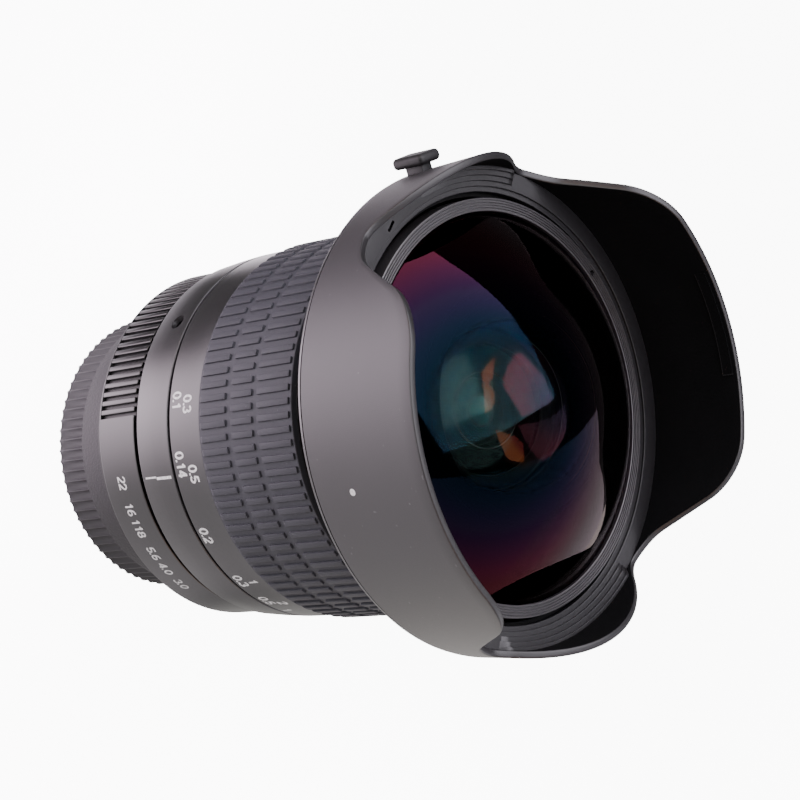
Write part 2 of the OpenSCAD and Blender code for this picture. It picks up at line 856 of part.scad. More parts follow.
// Iris
module iris_base() {
    wall_in = cam_r + run;
    hole_r = iris_open + iris_rim;
    color("black") difference() {
        turned([
            [hole_r, z_iris], [optic_in - fit, z_iris], [optic_in - fit, z_cam + cam_t],
            [wall_in, z_cam + cam_t], [wall_in, z_iris + iris_plate_t],
            [hole_r, z_iris + iris_plate_t]
        ]);
        for (i = [0:blades - 1]) rotate([0, 0, i * 360 / blades])
            translate([pivot_r, 0, z_iris - over])
                cylinder(r = pin_r + pin_gap, h = iris_plate_t + 2 * over, $fn = pin_fn);
        tab_slot(optic_in + over, wall_in - over, z_cam + cam_t + over);
    }
}

// Where a blade's drive pin stands when the iris is closed by a share of its range
function pin_place(closed) =
    [pivot_r, 0] + crank * [cos(crank_angle + closed * blade_turn), sin(crank_angle + closed * blade_turn)];

module iris_cam_ring() {
    color("dimgray") difference() {
        union() {
            tube(cam_r, cam_in, z_cam, z_cam + cam_t);
            sector(lever_r - run, cam_r - over, z_cam, z_cam + cam_t,
                lever_middle - tab_angle / 2, lever_middle + tab_angle / 2);
        }
        for (i = [0:blades - 1]) rotate([0, 0, i * 360 / blades]) for (k = [0:slot_steps])
            rotate([0, 0, ap_range * (1 - k / slot_steps)])
                translate([each pin_place(k / slot_steps), z_cam - over])
                    cylinder(r = pin_r + pin_gap, h = cam_t + 2 * over, $fn = pin_fn);
    }
}

// One crescent blade in its own layer, drawn closed as at rest
module iris_blade(index) {
    layer = z_blades + index * blade_pitch;
    drive = crank * [cos(crank_angle), sin(crank_angle)];
    lap = 0.6;
    pin_low = z_iris + cell_sink;
    pin_top = z_cam + cam_t - blade_gap;
    color("darkgray") rotate([0, 0, index * 360 / blades])
        translate([pivot_r, 0, 0]) rotate([0, 0, blade_turn]) translate([-pivot_r, 0, 0]) {
            sector(blade_out, iris_open, layer, layer + blade_t, -blade_tail, blade_arc);
            translate([0, 0, layer]) linear_extrude(blade_t) {
                translate([blade_out - lap, -pivot_pad])
                    square([pivot_r - blade_out + lap, 2 * pivot_pad]);
                translate([pivot_r, 0]) circle(r = pivot_pad);
                translate([pivot_r, 0]) rotate(crank_angle) translate([0, -drive_pad])
                    square([crank, 2 * drive_pad]);
                translate([pivot_r, 0] + drive) circle(r = drive_pad);
            }
            translate([pivot_r, 0, pin_low])
                cylinder(r = pin_r, h = layer + blade_t - pin_low, $fn = pin_fn);
            translate([pivot_r + drive.x, drive.y, layer])
                cylinder(r = pin_r, h = pin_top - layer, $fn = pin_fn);
        }
}

module iris_blade_1() { iris_blade(0); }
module iris_blade_2() { iris_blade(1); }
module iris_blade_3() { iris_blade(2); }
module iris_blade_4() { iris_blade(3); }
module iris_blade_5() { iris_blade(4); }
module iris_blade_6() { iris_blade(5); }

// Aperture ring with its grip ribs, click grooves and lever seat
module aperture_ring() {
    edge = 0.5;
    rear_band = 0.9;
    groove_share = 0.45;
    count = floor(ap_grip_angle / ap_pitch);
    grip_from = 20;
    first = index_angle - grip_from;
    click_depth = 0.4;
    click_l = 2.4;
    seat_play = 0.2;
    color("dimgray") difference() {
        turned([
            [ap_in, z_ap], [ap_r - edge, z_ap], [ap_r, z_ap + edge], [ap_r, z_groove - edge],
            [ap_r - edge, z_groove], [ap_in, z_groove]
        ]);
        for (i = [0:count]) let (from = first - i * ap_pitch - ap_pitch * groove_share)
            sector(ap_r + over, ap_r - ap_groove_depth, z_ap + rear_band, z_groove + over,
                from, from + ap_pitch * groove_share);
        for (stop = stops) rotate([0, 0, click_at + stop * ap_range])
            translate([ap_in + click_depth - click_r, 0, z_click - click_l / 2])
                cylinder(r = click_r, h = click_l, $fn = pin_fn);
        sector(ap_in + lever_foot_in + fit, ap_in - over, z_lever - fit, z_lever + lever_foot + fit,
            lever_at - seat_play, lever_at + lever_angle + seat_play);
    }
}

// Lever from the aperture ring forward to the iris cam ring
module aperture_lever() {
    half_gap = tab_angle / 2 + fork_gap;
    tip = 0.8;
    front = z_cam + cam_t + tip;
    fork_root = 1.6;
    color("silver") difference() {
        rotate([0, 0, lever_at]) rotate_extrude(angle = lever_angle) polygon([
            [lever_r - lever_t, z_lever], [ap_in + lever_foot_in, z_lever],
            [ap_in + lever_foot_in, z_lever + lever_foot], [lever_r, z_lever + lever_foot],
            [lever_r, front], [lever_r - lever_t, front]
        ]);
        sector(lever_r + over, lever_r - lever_t - over, z_cam - fork_root, front + over,
            lever_middle - half_gap, lever_middle + half_gap);
    }
}

// Hood: outline of the petals, seen from the side
module long_outline() {
    half = petal_half_w;
    rise = long_petal - notch_h;
    top_half = half - rise * tan(petal_lean);
    turn = 90 - petal_lean;
    shoulder_run = shoulder_r * tan(turn / 2);
    notch_run = notch_r * tan(turn / 2);
    shoulder = arc([top_half - shoulder_run, long_petal - shoulder_r], shoulder_r, 90, petal_lean, 10);
    notch = arc([half + notch_run, notch_h + notch_r], notch_r, 180 + petal_lean, 270, 8);
    right = concat(shoulder, notch);
    left = [for (i = [len(right) - 1:-1:0]) [-right[i].x, right[i].y]];
    polygon(concat([[-half - notch_run, 0], [half + notch_run, 0]],
        [for (i = [len(right) - 1:-1:0]) right[i]], [for (i = [len(left) - 1:-1:0]) left[i]]));
}

module hood_shell() {
    reach = 2 * hood_top_r;
    color("dimgray") difference() {
        union() {
            intersection() {
                translate([0, 0, z_hood]) turned([
                    [hood_bore, 0], [hood_r, 0], [hood_top_r, long_petal],
                    [hood_top_r - hood_wall, long_petal], [hood_r - hood_wall, hood_back_t],
                    [hood_bore + seat_wall, hood_back_t], [hood_bore + seat_wall, seat_l],
                    [hood_bore, seat_l]
                ]);
                translate([0, 0, z_hood]) union() {
                    translate([0, 0, -over]) cylinder(r = reach, h = notch_h + over);
                    translate([0, reach, 0]) rotate([90, 0, 0]) linear_extrude(2 * reach) long_outline();
                    translate([-reach, 0, short_petal - short_r]) rotate([0, 90, 0])
                        cylinder(r = short_r, h = 2 * reach);
                }
            }
            for (angle = hood_keys) rotate([0, 0, angle])
                translate([hood_bore - hood_key_h, -hood_key_w / 2, z_hood + hood_key_rise])
                    cube([hood_key_h + seat_wall / 2, hood_key_w, hood_key_l]);
        }
        translate([-hood_r - over, 0, z_button]) rotate([0, 90, 0])
            linear_extrude(hood_wall + 2 * over)
                square([neck_len + 2 * run, neck_w + 2 * run], center = true);
    }
}

// Stepped ring between the hood's wall and the bezel
module hood_baffle() {
    wall = hood_r + hood_flare * seat_l - hood_wall - 2 * fit;
    low = z_baffle + fit;
    second_top = low + baffle_base + step_h;
    steps = 3;
    slot = [1.2, 2];
    slot_half = 3;
    color("black") difference() {
        union() {
            turned([
                [baffle_in, low], [wall, low], [wall, second_top], [baffle_in + step_w, second_top],
                [baffle_in + step_w, low + baffle_base], [baffle_in, low + baffle_base]
            ]);
            for (side = [0, 180]) rotate([0, 0, side - step_angle])
                rotate_extrude(angle = 2 * step_angle) polygon(concat(
                    [[wall - fit, second_top - step_h / 2], [wall - fit, second_top + steps * step_h]],
                    [for (i = [steps:-1:1]) each [
                        [baffle_in + (i + 1) * step_w, second_top + i * step_h],
                        [baffle_in + (i + 1) * step_w, second_top + (i - 1) * step_h]]],
                    [[baffle_in + 2 * step_w, second_top - step_h / 2]]));
        }
        sector(baffle_in + slot.x + slot.y, baffle_in + slot.y, low - over, second_top + over,
            baffle_slot_at - slot_half, baffle_slot_at + slot_half);
    }
}

module lock_leaf_spring() {
    inner = hood_bore + seat_wall + fit;
    color("silver") sector(inner + leaf_t, inner, z_button - leaf_w / 2, z_button + leaf_w / 2,
        180 - leaf_angle, 180 + leaf_angle);
}

// Lock button: plate, neck through the hood's wall, and a foot inside
module hood_lock_button() {
    corner = 1.1;
    foot = [neck_len + 2 * button_foot_margin, neck_w + 4 * button_foot_margin];
    color("dimgray") rotate([0, -90, 0]) translate([z_button, 0, 0]) {
        translate([0, 0, button_face]) linear_extrude(button_t) rounded([button_l, button_w], corner);
        translate([0, 0, foot_face - button_foot_t])
            linear_extrude(button_face - foot_face + button_foot_t + fit)
                square([neck_len, neck_w], center = true);
        translate([0, 0, foot_face - button_foot_t]) linear_extrude(button_foot_t)
            square(foot, center = true);
    }
}

main_barrel();
front_collar();
bayonet_plate();
bayonet_screws();
collar_screws();
index_set_screw();
guide_keys();
click_ball();
click_spring();
rear_baffle();
focus_ring();
focus_grip();
helicoid_ring();
drive_screws();
optic_barrel();
front_cell();
front_element();
front_retainer();
inner_cell();
second_element();
inner_retainer();
third_element();
fourth_element();
iris_base();
rear_cell();
fifth_element();
rear_element();
rear_retainer();
iris_cam_ring();
iris_blade_1();
iris_blade_2();
iris_blade_3();
iris_blade_4();
iris_blade_5();
iris_blade_6();
aperture_ring();
aperture_lever();
hood_shell();
hood_baffle();
lock_leaf_spring();
hood_lock_button();
rear_cap();
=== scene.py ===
import math
import bmesh
import bpy
from mathutils import Matrix, Vector


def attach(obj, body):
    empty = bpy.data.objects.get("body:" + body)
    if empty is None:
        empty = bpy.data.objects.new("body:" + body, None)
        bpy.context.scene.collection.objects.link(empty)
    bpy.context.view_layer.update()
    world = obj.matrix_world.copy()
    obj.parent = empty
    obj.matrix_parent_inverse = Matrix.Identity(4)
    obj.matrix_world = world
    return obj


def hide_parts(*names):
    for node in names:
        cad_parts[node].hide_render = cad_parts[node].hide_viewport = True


# Fisheye lens standing on its rear cap. Sizes are in millimetres and become metres in the meshes.
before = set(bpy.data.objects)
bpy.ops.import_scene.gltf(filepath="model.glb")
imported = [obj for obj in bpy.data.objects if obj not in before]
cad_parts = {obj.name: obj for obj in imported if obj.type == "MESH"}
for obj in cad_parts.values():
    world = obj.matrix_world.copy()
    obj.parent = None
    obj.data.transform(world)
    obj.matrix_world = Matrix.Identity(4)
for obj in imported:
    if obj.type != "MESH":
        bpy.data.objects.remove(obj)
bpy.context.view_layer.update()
scene = bpy.context.scene
mm = 0.001
print("frame loaded with", len(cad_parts), "nodes")


class Wire:  # a node socket that can stand in a sum
    def __init__(self, sheet, socket):
        self.sheet, self.socket = sheet, socket

    def calc(self, operation, *parts):
        return self.sheet.node("ShaderNodeMath", {"operation": operation}, dict(enumerate(parts)))

    def __add__(self, other):
        return self.calc("ADD", self, other)

    def __radd__(self, other):
        return self.calc("ADD", other, self)

    def __sub__(self, other):
        return self.calc("SUBTRACT", self, other)

    def __rsub__(self, other):
        return self.calc("SUBTRACT", other, self)

    def __mul__(self, other):
        return self.calc("MULTIPLY", self, other)

    def __rmul__(self, other):
        return self.calc("MULTIPLY", other, self)

    def __truediv__(self, other):
        return self.calc("DIVIDE", self, other)

    def __pow__(self, other):
        return self.calc("POWER", self, other)

    def above(self, other):
        return self.calc("GREATER_THAN", self, other)


class Sheet:  # a node tree that is filled from the script
    def __init__(self, tree):
        self.tree = tree

    def node(self, kind, settings=None, sockets=None, output=0):
        made = self.tree.nodes.new(kind)
        for key, value in (settings or {}).items():
            if key == "stops":  # colour ramp
                ramp = made.color_ramp
                while len(ramp.elements) < len(value):
                    ramp.elements.new(0.5)
                for element, (place, colour) in zip(ramp.elements, value):
                    element.position, element.color = place, colour
            else:
                setattr(made, key, value)
        for key, value in (sockets or {}).items():
            if isinstance(value, Wire):
                self.tree.links.new(value.socket, made.inputs[key])
            else:
                made.inputs[key].default_value = value
        return Wire(self, made.outputs[output])


class Finish(Sheet):  # a material with one main shader
    def __init__(self, name):
        self.material = bpy.data.materials.new(name)
        self.material.use_nodes = True
        super().__init__(self.material.node_tree)
        self.tree.nodes.clear()
        self.place = self.node("ShaderNodeTexCoord", output="Object")

    def noise(self, scale, detail=3.0, vector=None):
        return self.node("ShaderNodeTexNoise", {}, {
            "Vector": vector or self.place, "Scale": scale, "Detail": detail, "Roughness": 0.55})

    def blend(self, factor, first, second):
        return self.node("ShaderNodeMix", {"data_type": "RGBA"}, {0: factor, 6: first, 7: second}, 2)

    def smooth(self, value, low, high):
        return self.node("ShaderNodeMapRange", {"interpolation_type": "SMOOTHSTEP"}, {
            "Value": value, "From Min": low, "From Max": high})

    def bump(self, height, depth):
        return self.node("ShaderNodeBump", {}, {"Height": height, "Distance": depth, "Strength": 1.0})

    def axes(self):
        split = self.node("ShaderNodeSeparateXYZ", {}, {"Vector": self.place})
        return [Wire(self, split.socket.node.outputs[i]) for i in range(3)]

    def round(self):  # distance from the lens axis
        x, y = self.axes()[:2]
        return (x * x + y * y) ** 0.5

    def end(self, sockets):
        return self.close(self.node("ShaderNodeBsdfPrincipled", {}, sockets))

    def close(self, shader):
        made = self.tree.nodes.new("ShaderNodeOutputMaterial")
        self.tree.links.new(shader.socket, made.inputs["Surface"])
        return self


def grey(level, warm=0.0):
    return (level * (1 + warm), level * (1 - warm), level * (1 + warm * 0.6), 1.0)


# Finishes

def makeSatin(name, level, warm=0.05, rough=0.34, shine=0.8, metal=0.0):
    # anodised or painted metal: speckle, cloudy sheen and a faint turned texture
    f = Finish(name)
    x, y, z = f.axes()
    cloud = f.noise(90.0, 2.0)
    speck = f.noise(5200.0, 2.0)
    turned = f.node("ShaderNodeCombineXYZ", {}, {"X": x * 40.0, "Y": y * 40.0, "Z": z * 9000.0})
    lines = f.noise(1.0, 2.0, turned)
    colour = f.blend(speck * 0.7 + cloud * 0.3, grey(level * 0.78, warm), grey(level * 1.22, warm))
    bumped = f.bump(speck * 0.5 + lines * 0.35, 0.00002)
    return f.end({"Base Color": colour, "Metallic": metal, "Specular IOR Level": shine, "Normal": bumped,
                  "Roughness": rough - 0.08 + cloud * 0.1 + speck * 0.06})


def makeRubber():
    f = Finish("gripRubber")
    grain = f.noise(4200.0, 3.0)
    cloud = f.noise(60.0, 2.0)
    dust = f.smooth(f.noise(1500.0, 1.0), 0.74, 0.8)
    base = f.blend(cloud, (0.033, 0.033, 0.041, 1), (0.043, 0.043, 0.053, 1))
    colour = f.blend(dust * 0.25, base, (0.2, 0.2, 0.21, 1))
    return f.end({"Base Color": colour, "Roughness": 0.6 + grain * 0.2, "Specular IOR Level": 0.4,
                  "Normal": f.bump(grain, 0.00003)})


def makeHood():
    f = Finish("hoodSatin")
    grain = f.noise(5600.0, 2.0)
    cloud = f.noise(45.0, 2.0)
    dust = f.smooth(f.noise(1300.0, 0.0), 0.84, 0.86)
    base = f.blend(cloud * 0.5 + grain * 0.5, (0.0225, 0.0202, 0.0222, 1), (0.032, 0.0288, 0.0316, 1))
    colour = f.blend(dust * 0.12, base, (0.3, 0.3, 0.3, 1))
    return f.end({"Base Color": colour, "Roughness": 0.44 + grain * 0.12, "Specular IOR Level": 0.6,
                  "Normal": f.bump(grain, 0.000018)})


def makeFlock():
    f = Finish("matBlack")
    fibre = f.noise(7000.0, 3.0)
    cloud = f.noise(120.0, 2.0)
    colour = f.blend(cloud, (0.0024, 0.0024, 0.0027, 1), (0.0042, 0.0042, 0.0046, 1))
    return f.end({"Base Color": colour, "Roughness": 0.82 + fibre * 0.15, "Specular IOR Level": 0.05,
                  "Normal": f.bump(fibre, 0.00003)})


def makeBaffle():
    f = Finish("baffleBlack")
    grain = f.noise(5000.0, 2.0)
    colour = f.blend(grain, (0.0032, 0.0027, 0.0034, 1), (0.0052, 0.0044, 0.0055, 1))
    return f.end({"Base Color": colour, "Roughness": 0.38 + grain * 0.12, "Specular IOR Level": 0.6,
                  "Normal": f.bump(grain, 0.000015)})


def makeCap():
    f = Finish("capPlastic")
    leather = f.node("ShaderNodeTexVoronoi", {"feature": "SMOOTH_F1"}, {"Vector": f.place, "Scale": 2600.0})
    grain = f.noise(4000.0, 3.0)
    skirt = f.axes()[2].above(0.0074)  # the smooth band over the ribs is grained like leather
    colour = f.blend(grain, (0.019, 0.0172, 0.0198, 1), (0.029, 0.0265, 0.030, 1))
    return f.end({"Base Color": colour, "Roughness": 0.52 + grain * 0.14, "Specular IOR Level": 0.45,
                  "Normal": f.bump(leather * skirt * 1.4 + grain * 0.4, 0.00005)})


def makeChrome():
    # turned chrome face; the rim that meets the aperture ring is dark and not metallic
    f = Finish("bayonetChrome")
    radius = f.round()
    turned = f.node("ShaderNodeCombineXYZ", {}, {"X": radius * 9000.0, "Y": f.axes()[2] * 3000.0, "Z": 0.0})
    rings = f.noise(1.0, 3.0, turned)
    rim = radius.above(0.0291)
    bright = f.blend(rings, (0.5, 0.5, 0.51, 1), (0.68, 0.68, 0.69, 1))
    return f.end({"Base Color": f.blend(rim, bright, (0.02, 0.0195, 0.02, 1)), "Metallic": 1 - rim,
                  "Roughness": 0.2 + rings * 0.16 + rim * 0.2, "Normal": f.bump(rings, 0.000006)})


def makePlainMetal(name, dark, light, rough):
    f = Finish(name)
    cloud = f.noise(700.0, 3.0)
    return f.end({"Base Color": f.blend(cloud, dark, light), "Metallic": 1.0,
                  "Roughness": rough + cloud * 0.15, "Normal": f.bump(f.noise(4000.0), 0.000004)})


def makePaint():
    f = Finish("scalePaint")
    wear = f.noise(2600.0, 3.0)
    colour = f.blend(f.smooth(wear, 0.3, 0.75), (0.55, 0.54, 0.53, 1), (0.8, 0.79, 0.78, 1))
    return f.end({"Base Color": colour, "Roughness": 0.5 + wear * 0.2, "Normal": f.bump(wear, 0.00001)})


# the coat's index squared and first thickness, the tilts of its slant colour, its cover over the rim
coating = {"square": 1.9, "lead": 0.125, "slantFrom": 0.36, "slantTo": 0.62, "cover": 0.95, "coverTo": 0.5,
           "coverLean": 0.04, "coverEdge": 0.0014, "index": 1.6, "polish": 0.008}


def makeGlass(name, stops, slant, tint, shine, across=0.0344, bend=4.0, dusty=0.0, closed=0.0):
    # a clear body, and a thin coat whose colour follows its thickness and the slant of the light
    f = Finish(name)
    c = coating
    tilt = f.node("ShaderNodeLayerWeight", {}, {"Blend": 0.5}, "Facing")
    out = f.round() / across
    path = out * out
    if bend:  # light on a slant takes another path through the coat
        bent = (1 - (1 - (1 - tilt) ** 2) / c["square"]) ** 0.5
        path = path + (1 - bent) * bend - bend * c["lead"]
    ramp = f.node("ShaderNodeValToRGB", {"stops": stops}, {"Fac": path})
    coat = f.blend(f.smooth(tilt, c["slantFrom"], c["slantTo"]), ramp, slant)
    facing = f.node("ShaderNodeFresnel", {}, {"IOR": shine})
    if closed:  # over the blackened rim nothing shows through, so the coat covers it at the same strength
        cover = f.smooth(f.round() + tilt * c["coverLean"], closed - c["coverEdge"], closed)
        cover = cover * (1 - f.smooth(tilt, c["slantFrom"], c["coverTo"]))
        share = facing + cover * (c["cover"] - facing)
        part = facing / share
        coat = f.blend(part, (0, 0, 0, 1), coat)
        coat = f.node("ShaderNodeVectorMath", {"operation": "SUBTRACT"}, {0: coat, 1: tilt ** 5 * (1 - part)})
        coat = f.node("ShaderNodeVectorMath", {"operation": "MAXIMUM"}, {0: coat, 1: (0, 0, 0)})
        facing = share
    clear = f.node("ShaderNodeBsdfRefraction", {}, {"Color": tint, "IOR": c["index"], "Roughness": 0.0})
    polish = c["polish"]
    if dusty:
        polish = polish + f.smooth(f.noise(1400.0, 0.0), 0.85, 0.87) * dusty
    mirror = f.node("ShaderNodeBsdfPrincipled", {}, {"Base Color": coat, "Metallic": 1.0, "Roughness": polish})
    return f.close(f.node("ShaderNodeMixShader", {}, {0: facing, 1: clear, 2: mirror}))


# place along the coat's ramp and its colour there
domeCoat = [(0.0, (0.09, 0.27, 0.30, 1)), (0.10, (0.065, 0.20, 0.27, 1)), (0.18, (0.07, 0.19, 0.35, 1)),
            (0.26, (0.115, 0.205, 0.41, 1)), (0.36, (0.21, 0.19, 0.48, 1)), (0.45, (0.31, 0.20, 0.50, 1)),
            (0.52, (0.37, 0.15, 0.47, 1)), (0.68, (0.68, 0.155, 0.45, 1)), (0.84, (1.0, 0.17, 0.38, 1)),
            (1.0, (1.0, 0.2, 0.28, 1))]
hollowCoat = [(0.0, (0.27, 0.17, 0.29, 1)), (0.12, (0.32, 0.16, 0.26, 1)), (0.28, (0.55, 0.16, 0.23, 1)),
              (0.62, (0.6, 0.13, 0.17, 1)), (0.72, (0.9, 0.36, 0.22, 1))]
innerCoat = [(0.0, (0.58, 0.85, 0.79, 1)), (0.3, (0.68, 0.88, 0.66, 1)), (1.0, (1.0, 0.7, 0.4, 1))]
deepCoat = [(0.0, (0.22, 0.9, 0.85, 1)), (0.3, (0.35, 0.9, 0.76, 1)), (1.0, (1.0, 0.6, 0.3, 1))]
# satin: grey level, warmth, roughness, shine, metal; glass: coat, slant colour, tint, strength of the coat
finish = {
    "ring": makeSatin("ringSatin", 0.0115),
    "bezel": makeSatin("bezelSatin", 0.019, 0.06, 0.34, 0.9),
    # darker satin, painted shade on the hood's lip
    "lip": makeSatin("lipShadeSatin", 0.010, 0.05, 0.42, 0.5),
    # darker satin: painted shade on the aperture ring's groove floors; also the petal pad's rim
    "groove": makeSatin("grooveSatin", 0.006, 0.05, 0.45, 0.4),
    # pale satin, painted highlight on the hood's rear bead
    "bead": makeSatin("beadHighlightSatin", 0.045, 0.04, 0.3, 0.9),
    "button": makeSatin("buttonSatin", 0.007, 0.04, 0.5, 0.35),
    # near-black flock laid as painted shade in gaps, holes and slots
    "gap": makeFlock(),
    # near-black interior finish; on the front collar it is painted shade
    "inner": makeSatin("innerBlack", 0.0016, 0.0, 0.55, 0.1),
    "edge": makeSatin("edgeBlack", 0.0009, 0.0, 0.8, 0.0),
    "rubber": makeRubber(),
    "hood": makeHood(),
    "flock": makeFlock(),
    "baffle": makeBaffle(),
    "cap": makeCap(),
    "chrome": makeChrome(),
    "steel": makePlainMetal("plainSteel", (0.3, 0.3, 0.31, 1), (0.48, 0.48, 0.49, 1), 0.25),
    "brass": makePlainMetal("turnedBrass", (0.42, 0.3, 0.12, 1), (0.6, 0.46, 0.2, 1), 0.25),
    "blade": makeSatin("bladeSteel", 0.02, 0.0, 0.35, 0.5, 0.6),
    "paint": makePaint(),
    # pale satin: the second glass's ground chamfer, and a painted highlight on the stop's opening edge
    "groundEdgeAndHighlight": makeSatin("groundEdgeAndHighlight", 0.07, 0.0, 0.5, 0.3),
    "frontGlass": makeGlass("frontGlass", domeCoat, (0.75, 0.6, 0.61, 1), (0.8, 0.88, 0.87, 1), 1.3,
                            dusty=0.3, closed=0.028),
    "hollowGlass": makeGlass("hollowGlass", hollowCoat, (0.75, 0.42, 0.3, 1), (0.9, 0.93, 0.92, 1), 1.5,
                             0.0125, 0.0),
    "innerGlass": makeGlass("innerGlass", innerCoat, (0.9, 0.9, 0.6, 1), (0.9, 0.93, 0.92, 1), 1.28),
    "deepGlass": makeGlass("deepGlass", deepCoat, (0.9, 0.7, 0.4, 1), (0.88, 0.95, 0.94, 1), 1.2),
}
print("finishes made:", len(finish))


# Mesh tools

def roundedLoop(points, steps=4):
    # corners given as (radius, height, fillet) become short arcs
    done = []
    count = len(points)
    for i, point in enumerate(points):
        here = Vector(point[:2])
        fillet = point[2] if len(point) > 2 else 0.0
        if fillet == 0.0:
            done.append(here)
            continue
        before = Vector(points[i - 1][:2]) - here
        after = Vector(points[(i + 1) % count][:2]) - here
        reach = min(fillet, 0.45 * before.length, 0.45 * after.length)
        first, last = here + before.normalized() * reach, here + after.normalized() * reach
        for k in range(steps + 1):
            t = k / steps
            done.append(first * (1 - t) ** 2 + here * (2 * t * (1 - t)) + last * t * t)
    return done


def bow(x, y, across, up, start, end, steps=18):
    # points along an ellipse, angles in degrees
    turns = [math.radians(start + (end - start) * k / steps) for k in range(steps + 1)]
    return [(x + across * math.cos(t), y + up * math.sin(t)) for t in turns]


def arcPoints(height, radius, start, end, steps):
    return bow(0, height, radius, radius, start, end, steps)


def boxLoop(inner, outer, low, high):
    return [(inner, low), (outer, low), (outer, high), (inner, high)]


def onRing(radius, angle, height):  # a point in metres
    return (radius * math.cos(angle) * mm, radius * math.sin(angle) * mm, height * mm)


def spotAt(degrees, radius, height):  # a place on the lens that faces outwards
    return Matrix.Rotation(math.radians(degrees), 4, "Z") @ Matrix.Translation((radius * mm, 0, height * mm))


def rawMesh(name, verts, faces):
    mesh = bpy.data.meshes.new(name)
    mesh.from_pydata(verts, [], faces)
    return mesh


def placed(name, data):
    thing = bpy.data.objects.new(name, data)
    scene.collection.objects.link(thing)
    return thing


def plainMesh(holder):  # the mesh that its modifiers leave
    return bpy.data.meshes.new_from_object(holder.evaluated_get(bpy.context.evaluated_depsgraph_get()))


def cleanMesh(name, verts, faces):
    mesh = rawMesh(name, verts, faces)
    work = bmesh.new()
    work.from_mesh(mesh)
    bmesh.ops.remove_doubles(work, verts=work.verts, dist=1e-6)
    bmesh.ops.dissolve_degenerate(work, edges=work.edges, dist=1e-8)
    bmesh.ops.recalc_face_normals(work, faces=work.faces)
    work.to_mesh(mesh)
    work.free()
    return mesh


def wallFaces(steps, columns, n):
    # faces between neighbouring columns of n points
    faces = []
    for i in range(steps):
        j = (i + 1) % columns
        faces += [(i * n + k, j * n + k, j * n + (k + 1) % n, i * n + (k + 1) % n) for k in range(n)]
    return faces


def turnedMesh(name, points, steps=240, start=0.0, sweep=360.0):
    loop = roundedLoop(points)
    full = sweep >= 360.0
    columns = steps if full else steps + 1
    verts = []
    for i in range(columns):
        angle = math.radians(start + sweep * i / steps)
        verts += [onRing(p.x, angle, p.y) for p in loop]
    n = len(loop)
    faces = wallFaces(steps, columns, n)
    if not full:
        faces += [tuple(range(n)), tuple(range(steps * n, steps * n + n))]
    return cleanMesh(name, verts, faces)


def blockMesh(name, size, bevel, segments=2, centre=(0, 0, 0)):
    work = bmesh.new()
    bmesh.ops.create_cube(work, size=1.0)
    bmesh.ops.scale(work, verts=work.verts, vec=[s * mm for s in size])
    bmesh.ops.bevel(work, geom=work.edges[:], offset=bevel * mm, segments=segments, profile=0.5,
                    affect="EDGES")
    bmesh.ops.translate(work, verts=work.verts, vec=[c * mm for c in centre])
    mesh = bpy.data.meshes.new(name)
    work.to_mesh(mesh)
    work.free()
    return mesh


def joined(name, meshes):
    work = bmesh.new()
    for mesh in meshes:
        work.from_mesh(mesh)
        bpy.data.meshes.remove(mesh)
    made = bpy.data.meshes.new(name)
    work.to_mesh(made)
    work.free()
    return made


def cutWith(mesh, tools):
    # the mesh with each tool's shape taken out of it
    holder = placed("cutHolder", mesh)
    used = [placed("cutTool", shape) for shape in tools]
    for tool in used:
        cut = holder.modifiers.new("cut", "BOOLEAN")
        cut.operation, cut.solver, cut.object = "DIFFERENCE", "EXACT", tool
    made = plainMesh(holder)
    for thing in [holder] + used:
        bpy.data.objects.remove(thing)
    return made


def addPiece(name, mesh, body, look, replaces=(), sharp=32.0, choose=None):
    # look is a finish, or several with choose(face) giving the place in that row
    looks = [look] if isinstance(look, str) else look
    mesh.materials.clear()
    for each in looks:
        mesh.materials.append(finish[each].material)
    mesh.polygons.foreach_set("material_index", [choose(f) if choose else 0 for f in mesh.polygons])
    mesh.polygons.foreach_set("use_smooth", [True] * len(mesh.polygons))
    mesh.set_sharp_from_angle(angle=math.radians(sharp))
    piece = placed(name, mesh)
    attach(piece, body)
    if replaces:
        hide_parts(*replaces)


# Geometry Nodes: copies of one shape on a ring round the lens axis

def makeRingTree():
    tree = bpy.data.node_groups.new("ringOfCopies", "GeometryNodeTree")
    tree.interface.new_socket("Shape", in_out="INPUT", socket_type="NodeSocketGeometry")
    inputs = {"Count": "Int", "Radius": "Float", "First Angle": "Float", "Angle Step": "Float",
              "Height": "Float", "Finish": "Material"}
    for label, kind in inputs.items():
        tree.interface.new_socket(label, in_out="INPUT", socket_type="NodeSocket" + kind)
    tree.interface.new_socket("Result", in_out="OUTPUT", socket_type="NodeSocketGeometry")
    sheet = Sheet(tree)
    entry = tree.nodes.new("NodeGroupInput")
    given = {s.name: Wire(sheet, s) for s in entry.outputs if s.name}
    angle = sheet.node("GeometryNodeInputIndex") * given["Angle Step"] + given["First Angle"]
    place = sheet.node("ShaderNodeCombineXYZ", {}, {
        "X": angle.calc("COSINE", angle) * given["Radius"], "Y": angle.calc("SINE", angle) * given["Radius"],
        "Z": given["Height"]})
    points = sheet.node("GeometryNodePoints", {}, {"Count": given["Count"], "Position": place})
    spin = sheet.node("FunctionNodeEulerToRotation", {}, {
        "Euler": sheet.node("ShaderNodeCombineXYZ", {}, {"Z": angle})})
    copies = sheet.node("GeometryNodeInstanceOnPoints", {}, {
        "Points": points, "Instance": given["Shape"], "Rotation": spin})
    plain = sheet.node("GeometryNodeRealizeInstances", {}, {"Geometry": copies})
    dressed = sheet.node("GeometryNodeSetMaterial", {}, {"Geometry": plain, "Material": given["Finish"]})
    tree.links.new(dressed.socket, tree.nodes.new("NodeGroupOutput").inputs[0])
    return tree


ringTree = makeRingTree()


